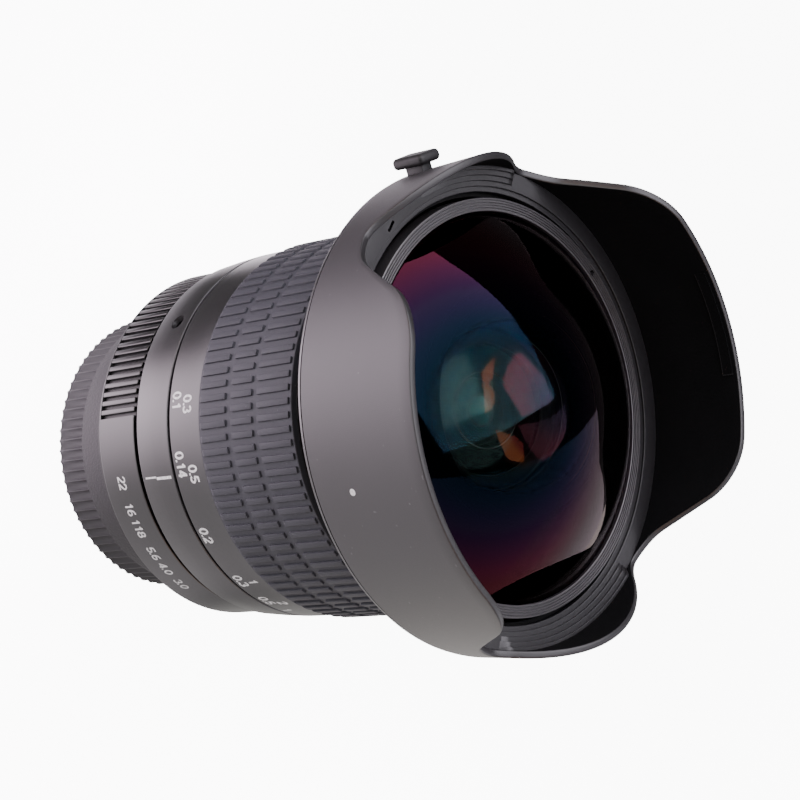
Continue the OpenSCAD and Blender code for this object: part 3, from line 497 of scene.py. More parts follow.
def ringOf(shape, count, radius, first, step, height, look):
    # lengths in mm, angles in degrees
    holder = placed("ringHolder", shape)
    copies = holder.modifiers.new("copies", "NODES")
    copies.node_group = ringTree
    values = {"Count": count, "Radius": radius * mm, "First Angle": math.radians(first),
              "Angle Step": math.radians(step), "Height": height * mm, "Finish": finish[look].material}
    for item in ringTree.interface.items_tree:
        if item.item_type == "SOCKET" and item.in_out == "INPUT" and item.name in values:
            copies[item.identifier] = values[item.name]
    made = plainMesh(holder)
    holder.modifiers.remove(copies)
    bpy.data.objects.remove(holder)
    bpy.data.meshes.remove(shape)
    return made


# Rear cap

cap = {"radius": 26.2, "inner": 24.4, "height": 15.8, "floor": 2.2, "chamfer": 0.8, "ribs": 84,
       "ribHeight": 7.2, "ribDepth": 0.75, "crest": 0.1, "scallop": 0.75, "groove": 20.8, "grooveWide": 0.8,
       "grooveDeep": 0.4, "lugIn": 22.25, "lugOut": 24.45, "lugLow": 12.0, "lugHigh": 13.6,
       "lugAngles": [60, 180, 300], "lugSweep": 58}


def fluteMesh():
    # one scalloped flute between two narrow crests, one pitch wide, copied round the cap
    c = cap
    half = math.pi / c["ribs"]
    flute = 1 - c["crest"]
    cols = [-1.0, -flute] + [-flute * math.cos(math.pi * k / 8) for k in range(1, 8)] + [flute, 1.0]
    high = c["ribHeight"]
    # inset, height, share of the depth
    rows = [(c["chamfer"], 0.0, 0.0), (0.15, 0.25, 0.4), (0.0, 0.8, 1.0), (0.0, high - 0.7, 1.0),
            (0.0, high - 0.3, 0.85), (0.0, high, 0.0)]
    verts, faces = [], []
    for inset, z, share in rows:
        for t in cols:
            dip = max(0.0, 1 - (t / flute) ** 2) ** c["scallop"]
            verts.append(onRing(c["radius"] - inset - c["ribDepth"] * share * dip, t * half, z))
    n = len(cols)
    for i in range(len(rows) - 1):
        faces += [(i * n + k, i * n + k + 1, i * n + n + k + 1, i * n + n + k) for k in range(n - 1)]
    return rawMesh("capFlute", verts, faces)


def makeRearCap():
    c = cap
    core = c["radius"] - c["ribDepth"] - 0.25
    grooveIn = c["groove"] - c["grooveWide"]
    body = turnedMesh("capBody", [
        (0, 0), (grooveIn, 0, 0.1), (grooveIn, c["grooveDeep"]), (c["groove"], c["grooveDeep"]),
        (c["groove"], 0, 0.1), (c["radius"] - c["chamfer"], 0), (core, c["chamfer"]),
        (core, c["ribHeight"] - 0.4), (c["radius"], c["ribHeight"]), (c["radius"], c["height"], 0.35),
        (c["inner"], c["height"], 0.2), (c["inner"], c["floor"], 0.3), (0, c["floor"])])
    ribs = ringOf(fluteMesh(), c["ribs"], 0.0, 0, 360 / c["ribs"], 0.0, "cap")
    lug = boxLoop(c["lugIn"], c["lugOut"], c["lugLow"], c["lugHigh"])
    lugs = [turnedMesh("capLug", lug, 24, turn - c["lugSweep"] / 2, c["lugSweep"]) for turn in c["lugAngles"]]
    addPiece("rearCap", joined("rearCap", [body, ribs] + lugs), "rear_cap", "cap",
             ["rear_cap"])


makeRearCap()
print("rear cap done")


# Aperture ring

aperture = {"radius": 32.3, "inner": 28.8, "low": 18.6, "high": 29.3, "depth": 0.7, "pitch": 3.0,
            "share": 0.56, "band": 1.45, "edge": 1.2, "first": -116.5, "ribs": 78, "root": 0.4, "bevel": 0.2}
indexAngle = -96.2  # where the index line stands


def makeApertureRing():
    a = aperture
    core = a["radius"] - a["depth"]
    sweep = a["pitch"] * a["ribs"]
    rear = [(a["radius"] - a["edge"], a["low"], 0.2), (a["radius"], a["low"] + a["edge"], 0.2)]
    body = turnedMesh("apertureCore", [(a["inner"], a["low"])] + rear + [
        (a["radius"], a["low"] + a["band"], 0.08), (core, a["low"] + a["band"] + 0.05),
        (core, a["high"] - 0.2, 0.15), (core - 0.3, a["high"]), (a["inner"], a["high"])])
    land = turnedMesh("apertureLand", [(core - a["root"], a["low"] + 0.3)] + rear + [
        (a["radius"], a["high"] - 0.15, 0.1), (a["radius"] - 0.15, a["high"], 0.1),
        (core - a["root"], a["high"])], 120, a["first"], 360 - sweep)
    width = math.radians(a["pitch"] * a["share"]) * a["radius"]
    length = a["high"] - a["low"] - a["band"]
    deep = a["depth"] + a["root"]
    rib = blockMesh("apertureRib", (deep, width, length), a["bevel"], 3, (-deep / 2, 0, 0))
    ribs = ringOf(rib, a["ribs"], a["radius"], a["first"] - a["pitch"] * (1 - a["share"] / 2), -a["pitch"],
                  a["high"] - length / 2, "ring")

    def ringSide(face):  # crests and land in satin; groove floors in a darker satin and the front face in black, both painted shade
        c = face.center / mm
        deepIn = c.xy.length < a["radius"] - 0.3 and c.z > a["low"] + a["band"]
        return 2 if c.z > a["high"] - 0.05 else int(deepIn)

    addPiece("apertureRing", joined("apertureRing", [body, land, ribs]), "aperture_ring",
             ["ring", "groove", "gap"], ["aperture_ring"], choose=ringSide)


makeApertureRing()
print("aperture ring done")


# Fixed barrel, focus ring and front collar

barrel = {"inner": 25.9, "radius": 28.5, "low": 18.2, "groove": 28.7, "grooveFloor": 29.5, "index": 30.9,
          "rear": 33.0, "middle": 33.4, "break": 35.27, "front": 33.7, "indexEnd": 40.0, "guide": 30.0,
          "guideEnd": 76.4, "guideIn": 28.7, "shelf": 46.1}
grooveShade = {"inner": 29.35, "outer": 29.62, "low": 28.8, "high": 30.85}
dimple = {"angle": -146.2, "height": 36.5, "radius": 33.2, "hole": 1.1, "rim": 1.5, "sink": 0.05,
          "slope": 0.65, "deep": 2.0}
# radius, height and fillet of each corner
focusRing = {"steps": 256, "corners": [
    (30.3, 40.4), (33.4, 40.4, 0.15), (33.7, 40.7, 0.2), (33.7, 48.4, 0.15), (32.6, 48.4), (32.6, 71.6, 0.1),
    (30.3, 71.6)]}
frontCollar = {"steps": 256, "corners": [
    (30.05, 72.0), (32.4, 72.0, 0.2), (32.4, 78.0, 0.2), (39.6, 80.0, 0.3), (39.6, 81.2, 0.2), (38.0, 81.2),
    (38.0, 86.8, 0.2), (37.4, 87.4, 0.1), (36.5, 87.4, 0.1), (36.5, 82.5), (31.4, 78.4), (30.05, 77.3)]}


def makeBarrel():
    b = barrel
    body = turnedMesh("mainBarrel", [
        (b["inner"], b["low"]), (b["radius"], b["low"]), (b["radius"], b["groove"]),
        (b["grooveFloor"], b["groove"]), (b["grooveFloor"], b["index"]), (b["rear"], b["index"], 0.3),
        (b["middle"], b["break"], 0.25), (b["front"], b["indexEnd"], 0.25), (b["guide"], b["indexEnd"]),
        (b["guide"], b["guideEnd"]), (b["guideIn"], b["guideEnd"]), (b["guideIn"], b["shelf"]),
        (b["inner"], b["shelf"])], 256)
    d = dimple
    tool = turnedMesh("dimpleCut", [
        (0, -d["deep"]), (d["hole"], -d["deep"]), (d["hole"], d["sink"] - d["slope"]), (d["rim"], d["sink"]),
        (d["rim"], d["deep"]), (0, d["deep"])], 40)
    spot = spotAt(d["angle"], d["radius"], d["height"]) @ Matrix.Rotation(math.radians(90), 4, "Y")
    tool.transform(spot)

    def dimpleSide(face):  # the screw hole is black below its countersink, painted shade
        here = (spot.inverted() @ face.center) / mm
        deepIn = -d["deep"] - 0.1 < here.z < d["sink"] - d["slope"] + 0.05
        return int(deepIn and here.xy.length < d["hole"] + 0.05)

    addPiece("mainBarrel", cutWith(body, [tool]), "barrel", ["ring", "gap"], ["main_barrel"],
             choose=dimpleSide)
    # a black ring on the groove floor beside the aperture ring, painted shade in the gap
    g = grooveShade
    shadeRing = turnedMesh("grooveShade", boxLoop(g["inner"], g["outer"], g["low"], g["high"]), 192)
    addPiece("grooveShade", shadeRing, "barrel", "gap")


def makeFocusRing():
    body = turnedMesh("focusRing", focusRing["corners"], focusRing["steps"])
    addPiece("focusRing", body, "focus_ring", "ring", ["focus_ring"])


def makeCollar():
    body = turnedMesh("frontCollar", frontCollar["corners"], frontCollar["steps"])
    # the collar under the hood takes the near-black inner finish as painted shade in the gap between grip and
    # hood
    addPiece("frontCollar", body, "barrel", "inner", ["front_collar"])


makeBarrel()
makeFocusRing()
makeCollar()
print("barrel, focus ring and collar done")


# Rubber grip

rubber = {"outer": 34.3, "sleeve": 32.65, "low": 48.45, "high": 71.6, "ribs": 92, "ribHeight": 0.42,
          "share": 0.48, "rows": [(0.0, 7.1), (8.5, 13.7), (15.0, 22.7)], "runOut": 1.1, "root": 0.3,
          "bevel": 0.13}


def makeRubberGrip():
    r = rubber
    floor = r["outer"] - r["ribHeight"]
    base = turnedMesh("rubberBase", [
        (r["sleeve"], r["low"]), (floor, r["low"], 0.2), (floor, r["high"], 0.2), (r["sleeve"], r["high"])])
    pitch = 360 / r["ribs"]
    width = math.radians(pitch * r["share"]) * r["outer"]
    deep = r["ribHeight"] + r["root"]
    rows = []
    for start, end in r["rows"]:
        rib = blockMesh("rubberRib", (deep, width, end - start), r["bevel"], 2, (-deep / 2, 0, 0))
        if start == 0.0:  # these run out towards the scale
            for v in rib.vertices:
                if v.co.x > -r["ribHeight"] * mm and v.co.z < 0:
                    v.co.z += r["runOut"] * mm * (1 + v.co.x / (r["ribHeight"] * mm))
        rows.append(ringOf(rib, r["ribs"], r["outer"], 0, pitch, r["low"] + (start + end) / 2, "rubber"))
    addPiece("rubberGrip", joined("rubberGrip", [base] + rows), "focus_ring", "rubber",
             ["focus_grip"])


makeRubberGrip()
print("rubber grip done")


# Petal hood

# "rear" gives the inset and height of the bead's corners
hood = {"low": 81.4, "radius": 42.3, "flare": 0.0425, "wall": 1.3, "bore": 38.3, "long": 26.4, "short": 16.3,
        "notch": 7.6, "halfWidth": 34.84, "lean": 23.0, "shoulder": 10.0, "notchRadius": 7.0,
        "shortRadius": 28.0, "backWall": 1.2, "floor": 5.6, "lipRound": 0.3, "bead": 1.25, "soften": 2.5,
        "steps": 900, "firstTop": 12.0, "collar": 0.7, "collarHigh": 6.6, "boreEdge": 0.15,
        "rear": [(0.9, 0), (0.3, 0.3), (0.16, 0.55), (0.16, 0.86), (0.45, 0.98), (0.45, 1.12)],
        "outerRows": (0.08, 0.18, 0.3, 0.45, 0.6, 0.75, 0.9),
        "innerRows": (0.85, 0.68, 0.5, 0.34, 0.2, 0.1, 0)}


def softMax(first, second, reach):
    # the larger of two heights, with a smooth turn where they meet
    near = max(reach - abs(first - second), 0.0) / reach
    return max(first, second) + near * near * reach / 4


def petalHeight(x, y):
    # height of the hood's edge over its rear rim, seen from the side
    h = hood
    lean = math.radians(h["lean"])
    run = math.tan((math.pi / 2 - lean) / 2)
    topHalf = h["halfWidth"] - (h["long"] - h["notch"]) * math.tan(lean)
    bend = topHalf - h["shoulder"] * run
    foot = h["halfWidth"] + h["notchRadius"] * run
    x, y = abs(x), abs(y)
    shoulderEnd = bend + h["shoulder"] * math.cos(lean)
    notchStart = foot - h["notchRadius"] * math.cos(lean)
    if x <= bend:
        high = h["long"]
    elif x <= shoulderEnd:
        high = h["long"] - h["shoulder"] + math.sqrt(h["shoulder"] ** 2 - (x - bend) ** 2)
    elif x <= notchStart:
        high = h["notch"] + (h["halfWidth"] - x) / math.tan(lean)
    elif x <= foot:
        high = h["notch"] + h["notchRadius"] - math.sqrt(h["notchRadius"] ** 2 - (x - foot) ** 2)
    else:
        high = h["notch"]
    shortHigh = h["short"] - h["shortRadius"] + math.sqrt(max(h["shortRadius"] ** 2 - y * y, 0.0))
    return max(softMax(high, shortHigh, h["soften"]), h["notch"])


def hoodProfile(angle):
    # one section through the wall, from the bore round the outside to the inside
    h = hood
    radius, lip, wall, flare, bore = (h[key] for key in ("radius", "lipRound", "wall", "flare", "bore"))
    top = h["firstTop"]
    for _ in range(2):  # the edge's own height decides how far out it lies
        near = radius + flare * top
        top = petalHeight(near * math.cos(angle), near * math.sin(angle))
    edge = radius + flare * top
    side = [(bore, h["boreEdge"]), (bore + h["boreEdge"], 0)]
    side += [(radius - inset, z) for inset, z in h["rear"]] + [(radius, h["bead"])]
    span = top - lip - h["bead"]
    side += [(radius + flare * z, z) for z in (h["bead"] + span * t for t in h["outerRows"])]
    turn = [(lip * math.cos(b), top - lip + lip * math.sin(b)) for b in (0, 0.5, 1.05, 1.57)]
    side += [(edge - lip + out, z) for out, z in turn]
    side += [(edge - wall + lip - out, z) for out, z in reversed(turn)]
    span = top - lip - h["floor"]
    side += [(radius + flare * z - wall, z) for z in (h["floor"] + span * t for t in h["innerRows"])]
    seat = bore + h["collar"]
    return side + [(radius - wall, h["backWall"]), (seat, h["backWall"]), (seat, h["collarHigh"]),
                   (bore, h["collarHigh"])]


def makeHoodShell():
    h = hood
    verts = []
    for i in range(h["steps"]):
        a = 2 * math.pi * i / h["steps"]
        section = hoodProfile(a)
        verts += [onRing(r, a, h["low"] + z) for r, z in section]
    shell = cleanMesh("hoodShell", verts, wallFaces(h["steps"], h["steps"], len(section)))

    def hoodSide(face):  # satin outside, lip in painted shade, flocked inside, painted highlight on the bead at the rear, painted shade in the small groove above it
        c = face.center / mm
        r, z = c.xy.length, c.z - h["low"]
        inWall = r - (h["radius"] - h["wall"] / 2 + h["flare"] * z)  # out from the middle of the wall
        outward = face.normal.xy.dot(face.center.xy) / face.center.xy.length
        # painted shade: the upward lip is darker than the hood's satin
        if z > h["notch"] - 1.0 and inWall > -0.6 and face.normal.z > 0.25 and outward < 0.75:
            return 1
        # painted highlight: the rear bead in a pale satin
        if 0.02 < z < 0.9 and r > h["radius"] - 1.0:
            return 3
        # painted shade: the small groove above the bead is flocked black
        if 0.9 < z < h["bead"] - 0.05 and r > h["radius"] - 0.6:
            return 2
        return 2 if outward < -0.3 and z > h["backWall"] and inWall > -1.2 else 0

    addPiece("hoodShell", shell, "hood", ["hood", "lip", "flock", "bead"], ["hood_shell"], 40,
             hoodSide)


petalPad = {"start": 77.0, "sweep": 26.4, "low": 104.8, "high": 106.9, "thick": 0.22, "rim": 0.2,
            "sideRim": 0.3, "root": 0.1}


def makePetalPad():
    # thin felt pad on the inside of one long petal
    p = petalPad
    inside = [hood["radius"] + hood["flare"] * (z - hood["low"]) - hood["wall"]
              for z in (p["low"], p["high"])]
    front = [out - p["thick"] for out in inside]
    pad = turnedMesh("petalPad", [
        (front[0], p["low"]), (inside[0] + p["root"], p["low"]), (inside[1] + p["root"], p["high"]),
        (front[1], p["high"]), (front[0] + hood["flare"] * p["rim"], p["low"] + p["rim"])],
        88, p["start"], p["sweep"])

    def padRim(face):  # its glued edge catches a little light
        c = face.center / mm
        turn = math.degrees(math.atan2(c.y, c.x))
        return int(c.z < p["low"] + p["rim"] or turn < p["start"] + p["sideRim"])

    addPiece("petalPad", pad, "hood", ["flock", "groove"], choose=padRim)


# stairs run from and to these degrees with a run-out at the end, the slot goes by degrees and radius
baffle = {"low": 88.05, "inner": 37.2, "wall": 41.4, "step": 0.9, "rise": 0.45, "base": 0.8,
          "stairs": [(151.0, 198.0, 20.0), (-29.0, 28.0, 4.0)], "taper": 4.0, "under": 0.35, "slotHalf": 0.3,
          "slotDeep": 0.9, "slotTurns": (-160.2, -156.0), "slotOut": (38.5, 40.0),
          "slot": [(-159.3, 39.42), (-158.7, 39.36), (-158.1, 39.2), (-157.5, 39.1), (-156.8, 39.05)]}


def makeHoodBaffle():
    f = baffle
    foot = f["low"] + f["base"]
    ring = turnedMesh("baffleRing", [
        (f["inner"], f["low"]), (f["wall"], f["low"]), (f["wall"], foot + f["rise"]),
        (f["inner"] + f["step"], foot + f["rise"], 0.12), (f["inner"] + f["step"], foot),
        (f["inner"], foot, 0.12)], 256)
    tools = []
    for turn, out in f["slot"]:  # the small curved slot beside the button
        tool = turnedMesh("slotCut", boxLoop(0, f["slotHalf"], -f["slotDeep"], 1), 16)
        tool.transform(spotAt(turn, out, foot + f["rise"]))
        tools.append(tool)
    parts = [cutWith(ring, tools)]
    for start, end, runOut in f["stairs"]:
        steps = [(f["wall"], foot), (f["wall"], foot + 4 * f["rise"])]
        for i in (3, 2, 1):
            nose = f["inner"] + (i + 1) * f["step"]
            steps += [(nose, foot + (i + 1) * f["rise"], 0.1), (nose, foot + i * f["rise"])]
        steps += [(f["inner"] + 2 * f["step"], foot)]
        stairs = turnedMesh("baffleStairs", steps, 120, start, end - start)
        for v in stairs.vertices:  # the steps run out into the ring and stay below the hood's edge
            turn = math.atan2(v.co.y, v.co.x)
            along = (math.degrees(turn) - start + 180) % 360 - 180
            t = min(1.0, max(0.0, min(along / f["taper"], (end - start - along) / runOut)))
            edge = hood["low"] + petalHeight(hood["radius"] * math.cos(turn), hood["radius"] * math.sin(turn))
            v.co.z = min(foot * mm + (v.co.z - foot * mm) * t * t * (3 - 2 * t), (edge - f["under"]) * mm)
            v.co.z = max(v.co.z, f["low"] * mm)
        parts.append(stairs)

    def slotDark(face):  # the slot's walls and floor in black, painted shade
        c = face.center / mm
        low, high = f["slotTurns"]
        near, far = f["slotOut"]
        inSlot = low < math.degrees(math.atan2(c.y, c.x)) < high and near < c.xy.length < far
        return int(inSlot and c.z < foot + f["rise"] - 0.02)

    addPiece("hoodBaffle", joined("hoodBaffle", parts), "hood", ["baffle", "gap"],
             ["hood_baffle"], choose=slotDark)


button = {"outer": 45.68, "thick": 2.0, "long": 6.9, "wide": 5.3, "height": 85.6, "bevel": 0.8,
          "neckIn": 40.5, "neckLong": 3.8, "neckWide": 2.6, "neckBevel": 0.2, "root": 0.3}


def makeButton():
    b = button
    plate = blockMesh("buttonPlate", (b["thick"], b["wide"], b["long"]), b["bevel"], 5,
                      (b["thick"] / 2 - b["outer"], 0, b["height"]))
    neckOut = b["outer"] - b["thick"] + b["root"]
    neck = blockMesh("buttonNeck", (neckOut - b["neckIn"], b["neckWide"], b["neckLong"]), b["neckBevel"], 2,
                     (-(neckOut + b["neckIn"]) / 2, 0, b["height"]))
    addPiece("lockButton", joined("lockButton", [plate, neck]), "lock_button", "button",
             ["hood_lock_button"])


makeHoodShell()
makePetalPad()
makeHoodBaffle()
makeButton()
print("hood done")


# Bezel and glasses

bezel = {"outer": 36.0, "inner": 33.7, "high": 90.0, "low": 87.0, "seat": 34.6, "lines": 4, "lineDeep": 0.22,
         "lineTop": 0.13, "lineFloor": 0.07, "holeRadius": 34.9, "holes": [115.0, 295.0], "holeHalf": 0.55,
         "holeDeep": 0.9}


def makeBezel():
    b = bezel
    high, floor = b["high"], b["high"] - b["lineDeep"]
    loop = [(b["outer"], b["low"]), (b["outer"], high, 0.2)]
    for i in range(b["lines"], 0, -1):
        r = b["inner"] + (b["outer"] - b["inner"]) * i / (b["lines"] + 1)
        loop += [(r + b["lineTop"], high, 0.04), (r + b["lineFloor"], floor), (r - b["lineFloor"], floor),
                 (r - b["lineTop"], high, 0.04)]
    loop += [(b["inner"], high, 0.15), (b["inner"], high - 0.75), (b["inner"] + 0.3, high - 1.2),
             (b["seat"], b["low"])]
    tools = []
    for angle in b["holes"]:  # two small holes for the spanner
        tool = turnedMesh("spannerHole", boxLoop(0, b["holeHalf"], -b["holeDeep"], 1), 24)
        tool.transform(spotAt(angle, b["holeRadius"], high))
        tools.append(tool)

    def bezelSide(face):  # the spanner holes are black inside, painted shade
        c = face.center / mm
        spots = [Vector(onRing(b["holeRadius"], math.radians(t), c.z)) / mm for t in b["holes"]]
        return int(c.z < high - 0.25 and min((c - s).length for s in spots) < b["holeHalf"] + 0.02)

    addPiece("bezelRing", cutWith(turnedMesh("bezelRing", loop, 256), tools), "optic_block", ["bezel", "gap"],
             ["front_retainer"], choose=bezelSide)


def capAngle(radius, half):
    return math.degrees(math.asin(half / radius))


frontGlass = {"dome": 48.5, "top": 102.72, "edge": 34.4, "seat": 84.4, "hollow": 18.0, "thick": 4.5,
              "clear": 16.6}
secondGlass = {"low": 74.0, "width": 15.9, "edge": 4.8, "front": 140.0, "hollow": 13.0, "rim": 8.6,
               "chamfer": 0.22}
innerStop = {"outer": 10.55, "opening": 4.5, "high": 71.0, "thick": 0.5, "edge": 0.25, "edgeDeep": 0.2}


def makeFrontGlass():
    # outer dome, straight edge, flat seat and hollow back
    g = frontGlass
    middle = g["top"] - g["dome"]
    loop = [(0, g["top"])] + arcPoints(middle, g["dome"], 90, 90 - capAngle(g["dome"], g["edge"]), 48)[1:]
    centre = g["top"] - g["thick"] - g["hollow"]
    rim = math.degrees(math.asin((g["seat"] - centre) / g["hollow"]))
    loop += [(g["edge"], g["seat"])] + arcPoints(centre, g["hollow"], rim, 90, 40)

    def glassSide(face):  # dome, hollow back, or the blackened edge and seat
        c = face.center / mm
        if (c - Vector((0, 0, middle))).length > g["dome"] - 0.2:
            return 0
        hollow = abs((c - Vector((0, 0, centre))).length - g["hollow"]) < 0.2
        return 1 if hollow and c.xy.length < g["clear"] else 2

    addPiece("frontGlass", turnedMesh("frontGlass", loop, 192), "optic_block",
             ["frontGlass", "hollowGlass", "edge"], ["front_element"], choose=glassSide)


def makeSecondGlass():
    # gently domed front and a hollow back with a ground chamfer round its rim
    g = secondGlass
    front = g["low"] + g["edge"] + g["front"] - math.sqrt(g["front"] ** 2 - g["width"] ** 2)
    loop = arcPoints(front - g["front"], g["front"], 90, 90 - capAngle(g["front"], g["width"]), 24)
    start = math.degrees(math.acos(g["rim"] / g["hollow"]))
    centre = g["low"] + g["chamfer"] - g["hollow"] * math.sin(math.radians(start))
    loop += [(g["width"], g["low"]), (g["rim"] + g["chamfer"], g["low"])]
    loop += arcPoints(centre, g["hollow"], start, 90, 24)

    def secondSide(face):  # clear faces, blackened edge and flat, ground chamfer
        c = face.center / mm
        if c.xy.length > g["width"] - 0.2 and abs(face.normal.z) < 0.2 or c.z < g["low"] + 0.02:
            return 1
        return 2 if c.z < g["low"] + g["chamfer"] and c.xy.length < g["rim"] + g["chamfer"] else 0

    addPiece("secondGlass", turnedMesh("secondGlass", loop, 128), "optic_block",
             ["innerGlass", "edge", "groundEdgeAndHighlight"], ["second_element"], choose=secondSide)


def makeInnerStop():
    # thin black washer behind the second glass, with a turned edge round its opening
    i = innerStop
    low = i["high"] - i["thick"]
    washer = turnedMesh("innerStop", [
        (i["outer"], low), (i["outer"], i["high"]), (i["opening"] + i["edge"], i["high"]),
        (i["opening"], i["high"] - i["edgeDeep"]), (i["opening"], low)], 128)

    def stopSide(face):  # the turned edge is paler, a painted highlight round the opening
        return int(face.normal.z > 0.2 and face.center.xy.length < (i["opening"] + 0.2) * mm)

    addPiece("innerStop", washer, "optic_block", ["edge", "groundEdgeAndHighlight"], choose=stopSide)


makeBezel()
makeFrontGlass()
makeSecondGlass()
makeInnerStop()
print("bezel and glasses done")


# Scales: plain numerals, index line and the hood's dot

# each numeral is drawn with a few even strokes in a box one unit high
strokes = {
    "0": [bow(0.3, 0.5, 0.225, 0.42, 90, 450, 28)],
    "1": [[(0.13, 0.72), (0.25, 0.78), (0.33, 0.92)], [(0.35, 1.0), (0.35, 0.0)]],
    "2": [bow(0.3, 0.68, 0.225, 0.24, 175, -25) + [(0.30, 0.34), (0.12, 0.17), (0.075, 0.06)],
          [(0.03, 0.075), (0.56, 0.075)]],
    "3": [bow(0.29, 0.71, 0.2, 0.21, 165, -80), bow(0.29, 0.29, 0.235, 0.215, 85, -165)],
    "4": [[(0.42, 1.0), (0.42, 0.0)], [(0.40, 0.93), (0.06, 0.29)], [(0.01, 0.28), (0.6, 0.28)]],
    "5": [[(0.54, 0.92), (0.13, 0.92)], [(0.16, 0.96), (0.10, 0.47)],
          bow(0.29, 0.31, 0.235, 0.235, 135, -160)],
    "6": [bow(0.3, 0.3, 0.225, 0.225, 0, 360, 24), bow(0.42, 0.36, 0.345, 0.56, 185, 78)],
    "8": [bow(0.3, 0.71, 0.19, 0.21, 90, 450, 24), bow(0.3, 0.285, 0.23, 0.215, 90, 450, 24)],
    ".": [[(0.1, 0.0), (0.1, 0.16)]],
}
# half width of a stroke, room for a digit and for the point, and how far the paint stands proud
lettering = {"half": 0.078, "digit": 0.62, "point": 0.24, "lift": 0.012}


def ribbon(points, half):
    # a flat band of even width along a line of points
    track = [Vector(p) for p in points]
    last = len(track) - 1
    closed = (track[0] - track[last]).length < 1e-6
    sides = []
    for i, here in enumerate(track):
        before = track[i - 1] if i > 0 else (track[-2] if closed else here)
        after = track[i + 1] if i < last else (track[1] if closed else here)
        along = (after - before).normalized()
        square = Vector((-along.y, along.x))
        wide = half
        if 0 < i < last:  # wider where the line turns
            step = here - before
            wide = half / max(0.5, square.dot(Vector((-step.y, step.x)).normalized()))
        sides.append((here + square * wide, here - square * wide))
    return sides


def wrapText(text, height, radius, middle, angle, bold):
    t = lettering
    room = {c: t["point"] if c == "." else t["digit"] for c in text}
    verts, faces = [], []
    pen = -sum(room[c] for c in text) / 2
    for c in text:
        for line in strokes[c]:
            first = len(verts)
            sides = ribbon(line, t["half"] * bold)
            for p in (end for pair in sides for end in pair):
                a = math.radians(indexAngle + angle) + (p.x + pen) * height / radius
                verts.append(onRing(radius + t["lift"], a, middle + (p.y - 0.5) * height))
            for k in range(first, first + 2 * len(sides) - 2, 2):
                faces.append((k + 1, k + 3, k + 2, k))
        pen += room[c]
    return rawMesh("numeral", verts, faces)


apertureScale = {"height": 2.1, "middle": 24.3, "bold": 1.0, "marks": [
    ("22", 0.9), ("16", 9.8), ("11", 15.5), ("8", 18.9), ("5.6", 26.6), ("4.0", 33.6), ("3.0", 41.7)]}
distanceScale = {"height": 2.2, "radius": 33.7, "metres": 42.5, "feet": 45.3, "bold": 1.2, "metreMarks": [
    ("0.1", -22.1), ("0.14", -3.0), ("0.2", 20.0), ("0.3", 39.1), ("0.5", 51.2), ("1", 60)], "feetMarks": [
    ("0.3", -20.7), ("0.5", 0.2), ("1", 39.9), ("2", 53.5)]}
# degrees, from, to, half width
indexLine = {"rear": (-0.05, 31.9, 35.0, 0.16), "front": (0.33, 35.13, 39.3, 0.26)}
hoodDot = {"height": 91.0, "size": 0.6, "angle": -90.0, "sides": 24}


def stripMesh(rows, turn, halfWidth):
    # a narrow line along the axis that follows the rows of (radius, height)
    verts, faces = [], []
    for r, z in rows:
        for side in (-1, 0, 1):
            a = math.radians(indexAngle + turn) + side * halfWidth / r
            verts.append(onRing(r + lettering["lift"], a, z))
    for i in range(len(rows) - 1):
        faces += [(i * 3 + k, i * 3 + k + 1, i * 3 + k + 4, i * 3 + k + 3) for k in (0, 1)]
    return rawMesh("indexPart", verts, faces)


def makeScales():
    s = apertureScale
    stops = [wrapText(t, s["height"], aperture["radius"], s["middle"], a, s["bold"]) for t, a in s["marks"]]
    addPiece("apertureScale", joined("apertureScale", stops), "aperture_ring", "paint")
    d = distanceScale
    marks = [wrapText(t, d["height"], d["radius"], d[row], a, d["bold"])
             for row, signs in (("metres", "metreMarks"), ("feet", "feetMarks")) for t, a in d[signs]]
    addPiece("distanceScale", joined("distanceScale", marks), "focus_ring", "paint")
    b = barrel
    lines = []
    for part, low, high, zLow, zHigh in (("rear", b["rear"], b["middle"], b["index"], b["break"]),
                                         ("front", b["middle"], b["front"], b["break"], b["indexEnd"])):
        turn, start, end, half = indexLine[part]
        slope = [(z, (z - zLow) / (zHigh - zLow)) for z in (start, (start + end) / 2, end)]
        lines.append(stripMesh([(low + (high - low) * t, z) for z, t in slope], turn, half))
    addPiece("indexLine", joined("indexLine", lines), "barrel", "paint")
    dot = hoodDot
    spot = []
    count = dot["sides"]
    for x, y in [(0, 0)] + arcPoints(0, dot["size"], 0, 360 - 360 / count, count - 1):
        r = hood["radius"] + hood["flare"] * (dot["height"] + y - hood["low"]) + lettering["lift"]
        spot.append(onRing(r, math.radians(dot["angle"]) + x / r, dot["height"] + y))
    fan = [(0, 1 + t, 1 + (t + 1) % count) for t in range(count)]
    addPiece("hoodDot", rawMesh("hoodDot", spot, fan), "hood", "paint")


makeScales()
print("scales done")


# CAD nodes that stay get their own finish
cadLook = {"bayonet_plate": "chrome", "bayonet_screws": "steel", "guide_keys": "brass",
           "helicoid_ring": "brass", "click_ball": "steel", "click_spring": "steel", "drive_screws": "steel",
           "aperture_lever": "steel", "lock_leaf_spring": "steel"}
for name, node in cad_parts.items():
    kind = "blade" if name.startswith("iris_blade") else "deepGlass" if name.endswith("_element") else "inner"
    look = cadLook.get(name, kind)
    if node.material_slots:
        for slot in node.material_slots:
            slot.material = finish[look].material
    else:
        node.data.materials.append(finish[look].material)
print("CAD nodes dressed")


# Floor, light and camera

stageSet = {"floorSize": 6.0, "floorDrop": 0.046, "glow": 10.0, "cardDrop": 0.0005, "panelReach": 0.75,
            "panelMiddle": 0.09, "world": (0.96, 0.95, 1.02, 1), "worldStrength": 0.14}
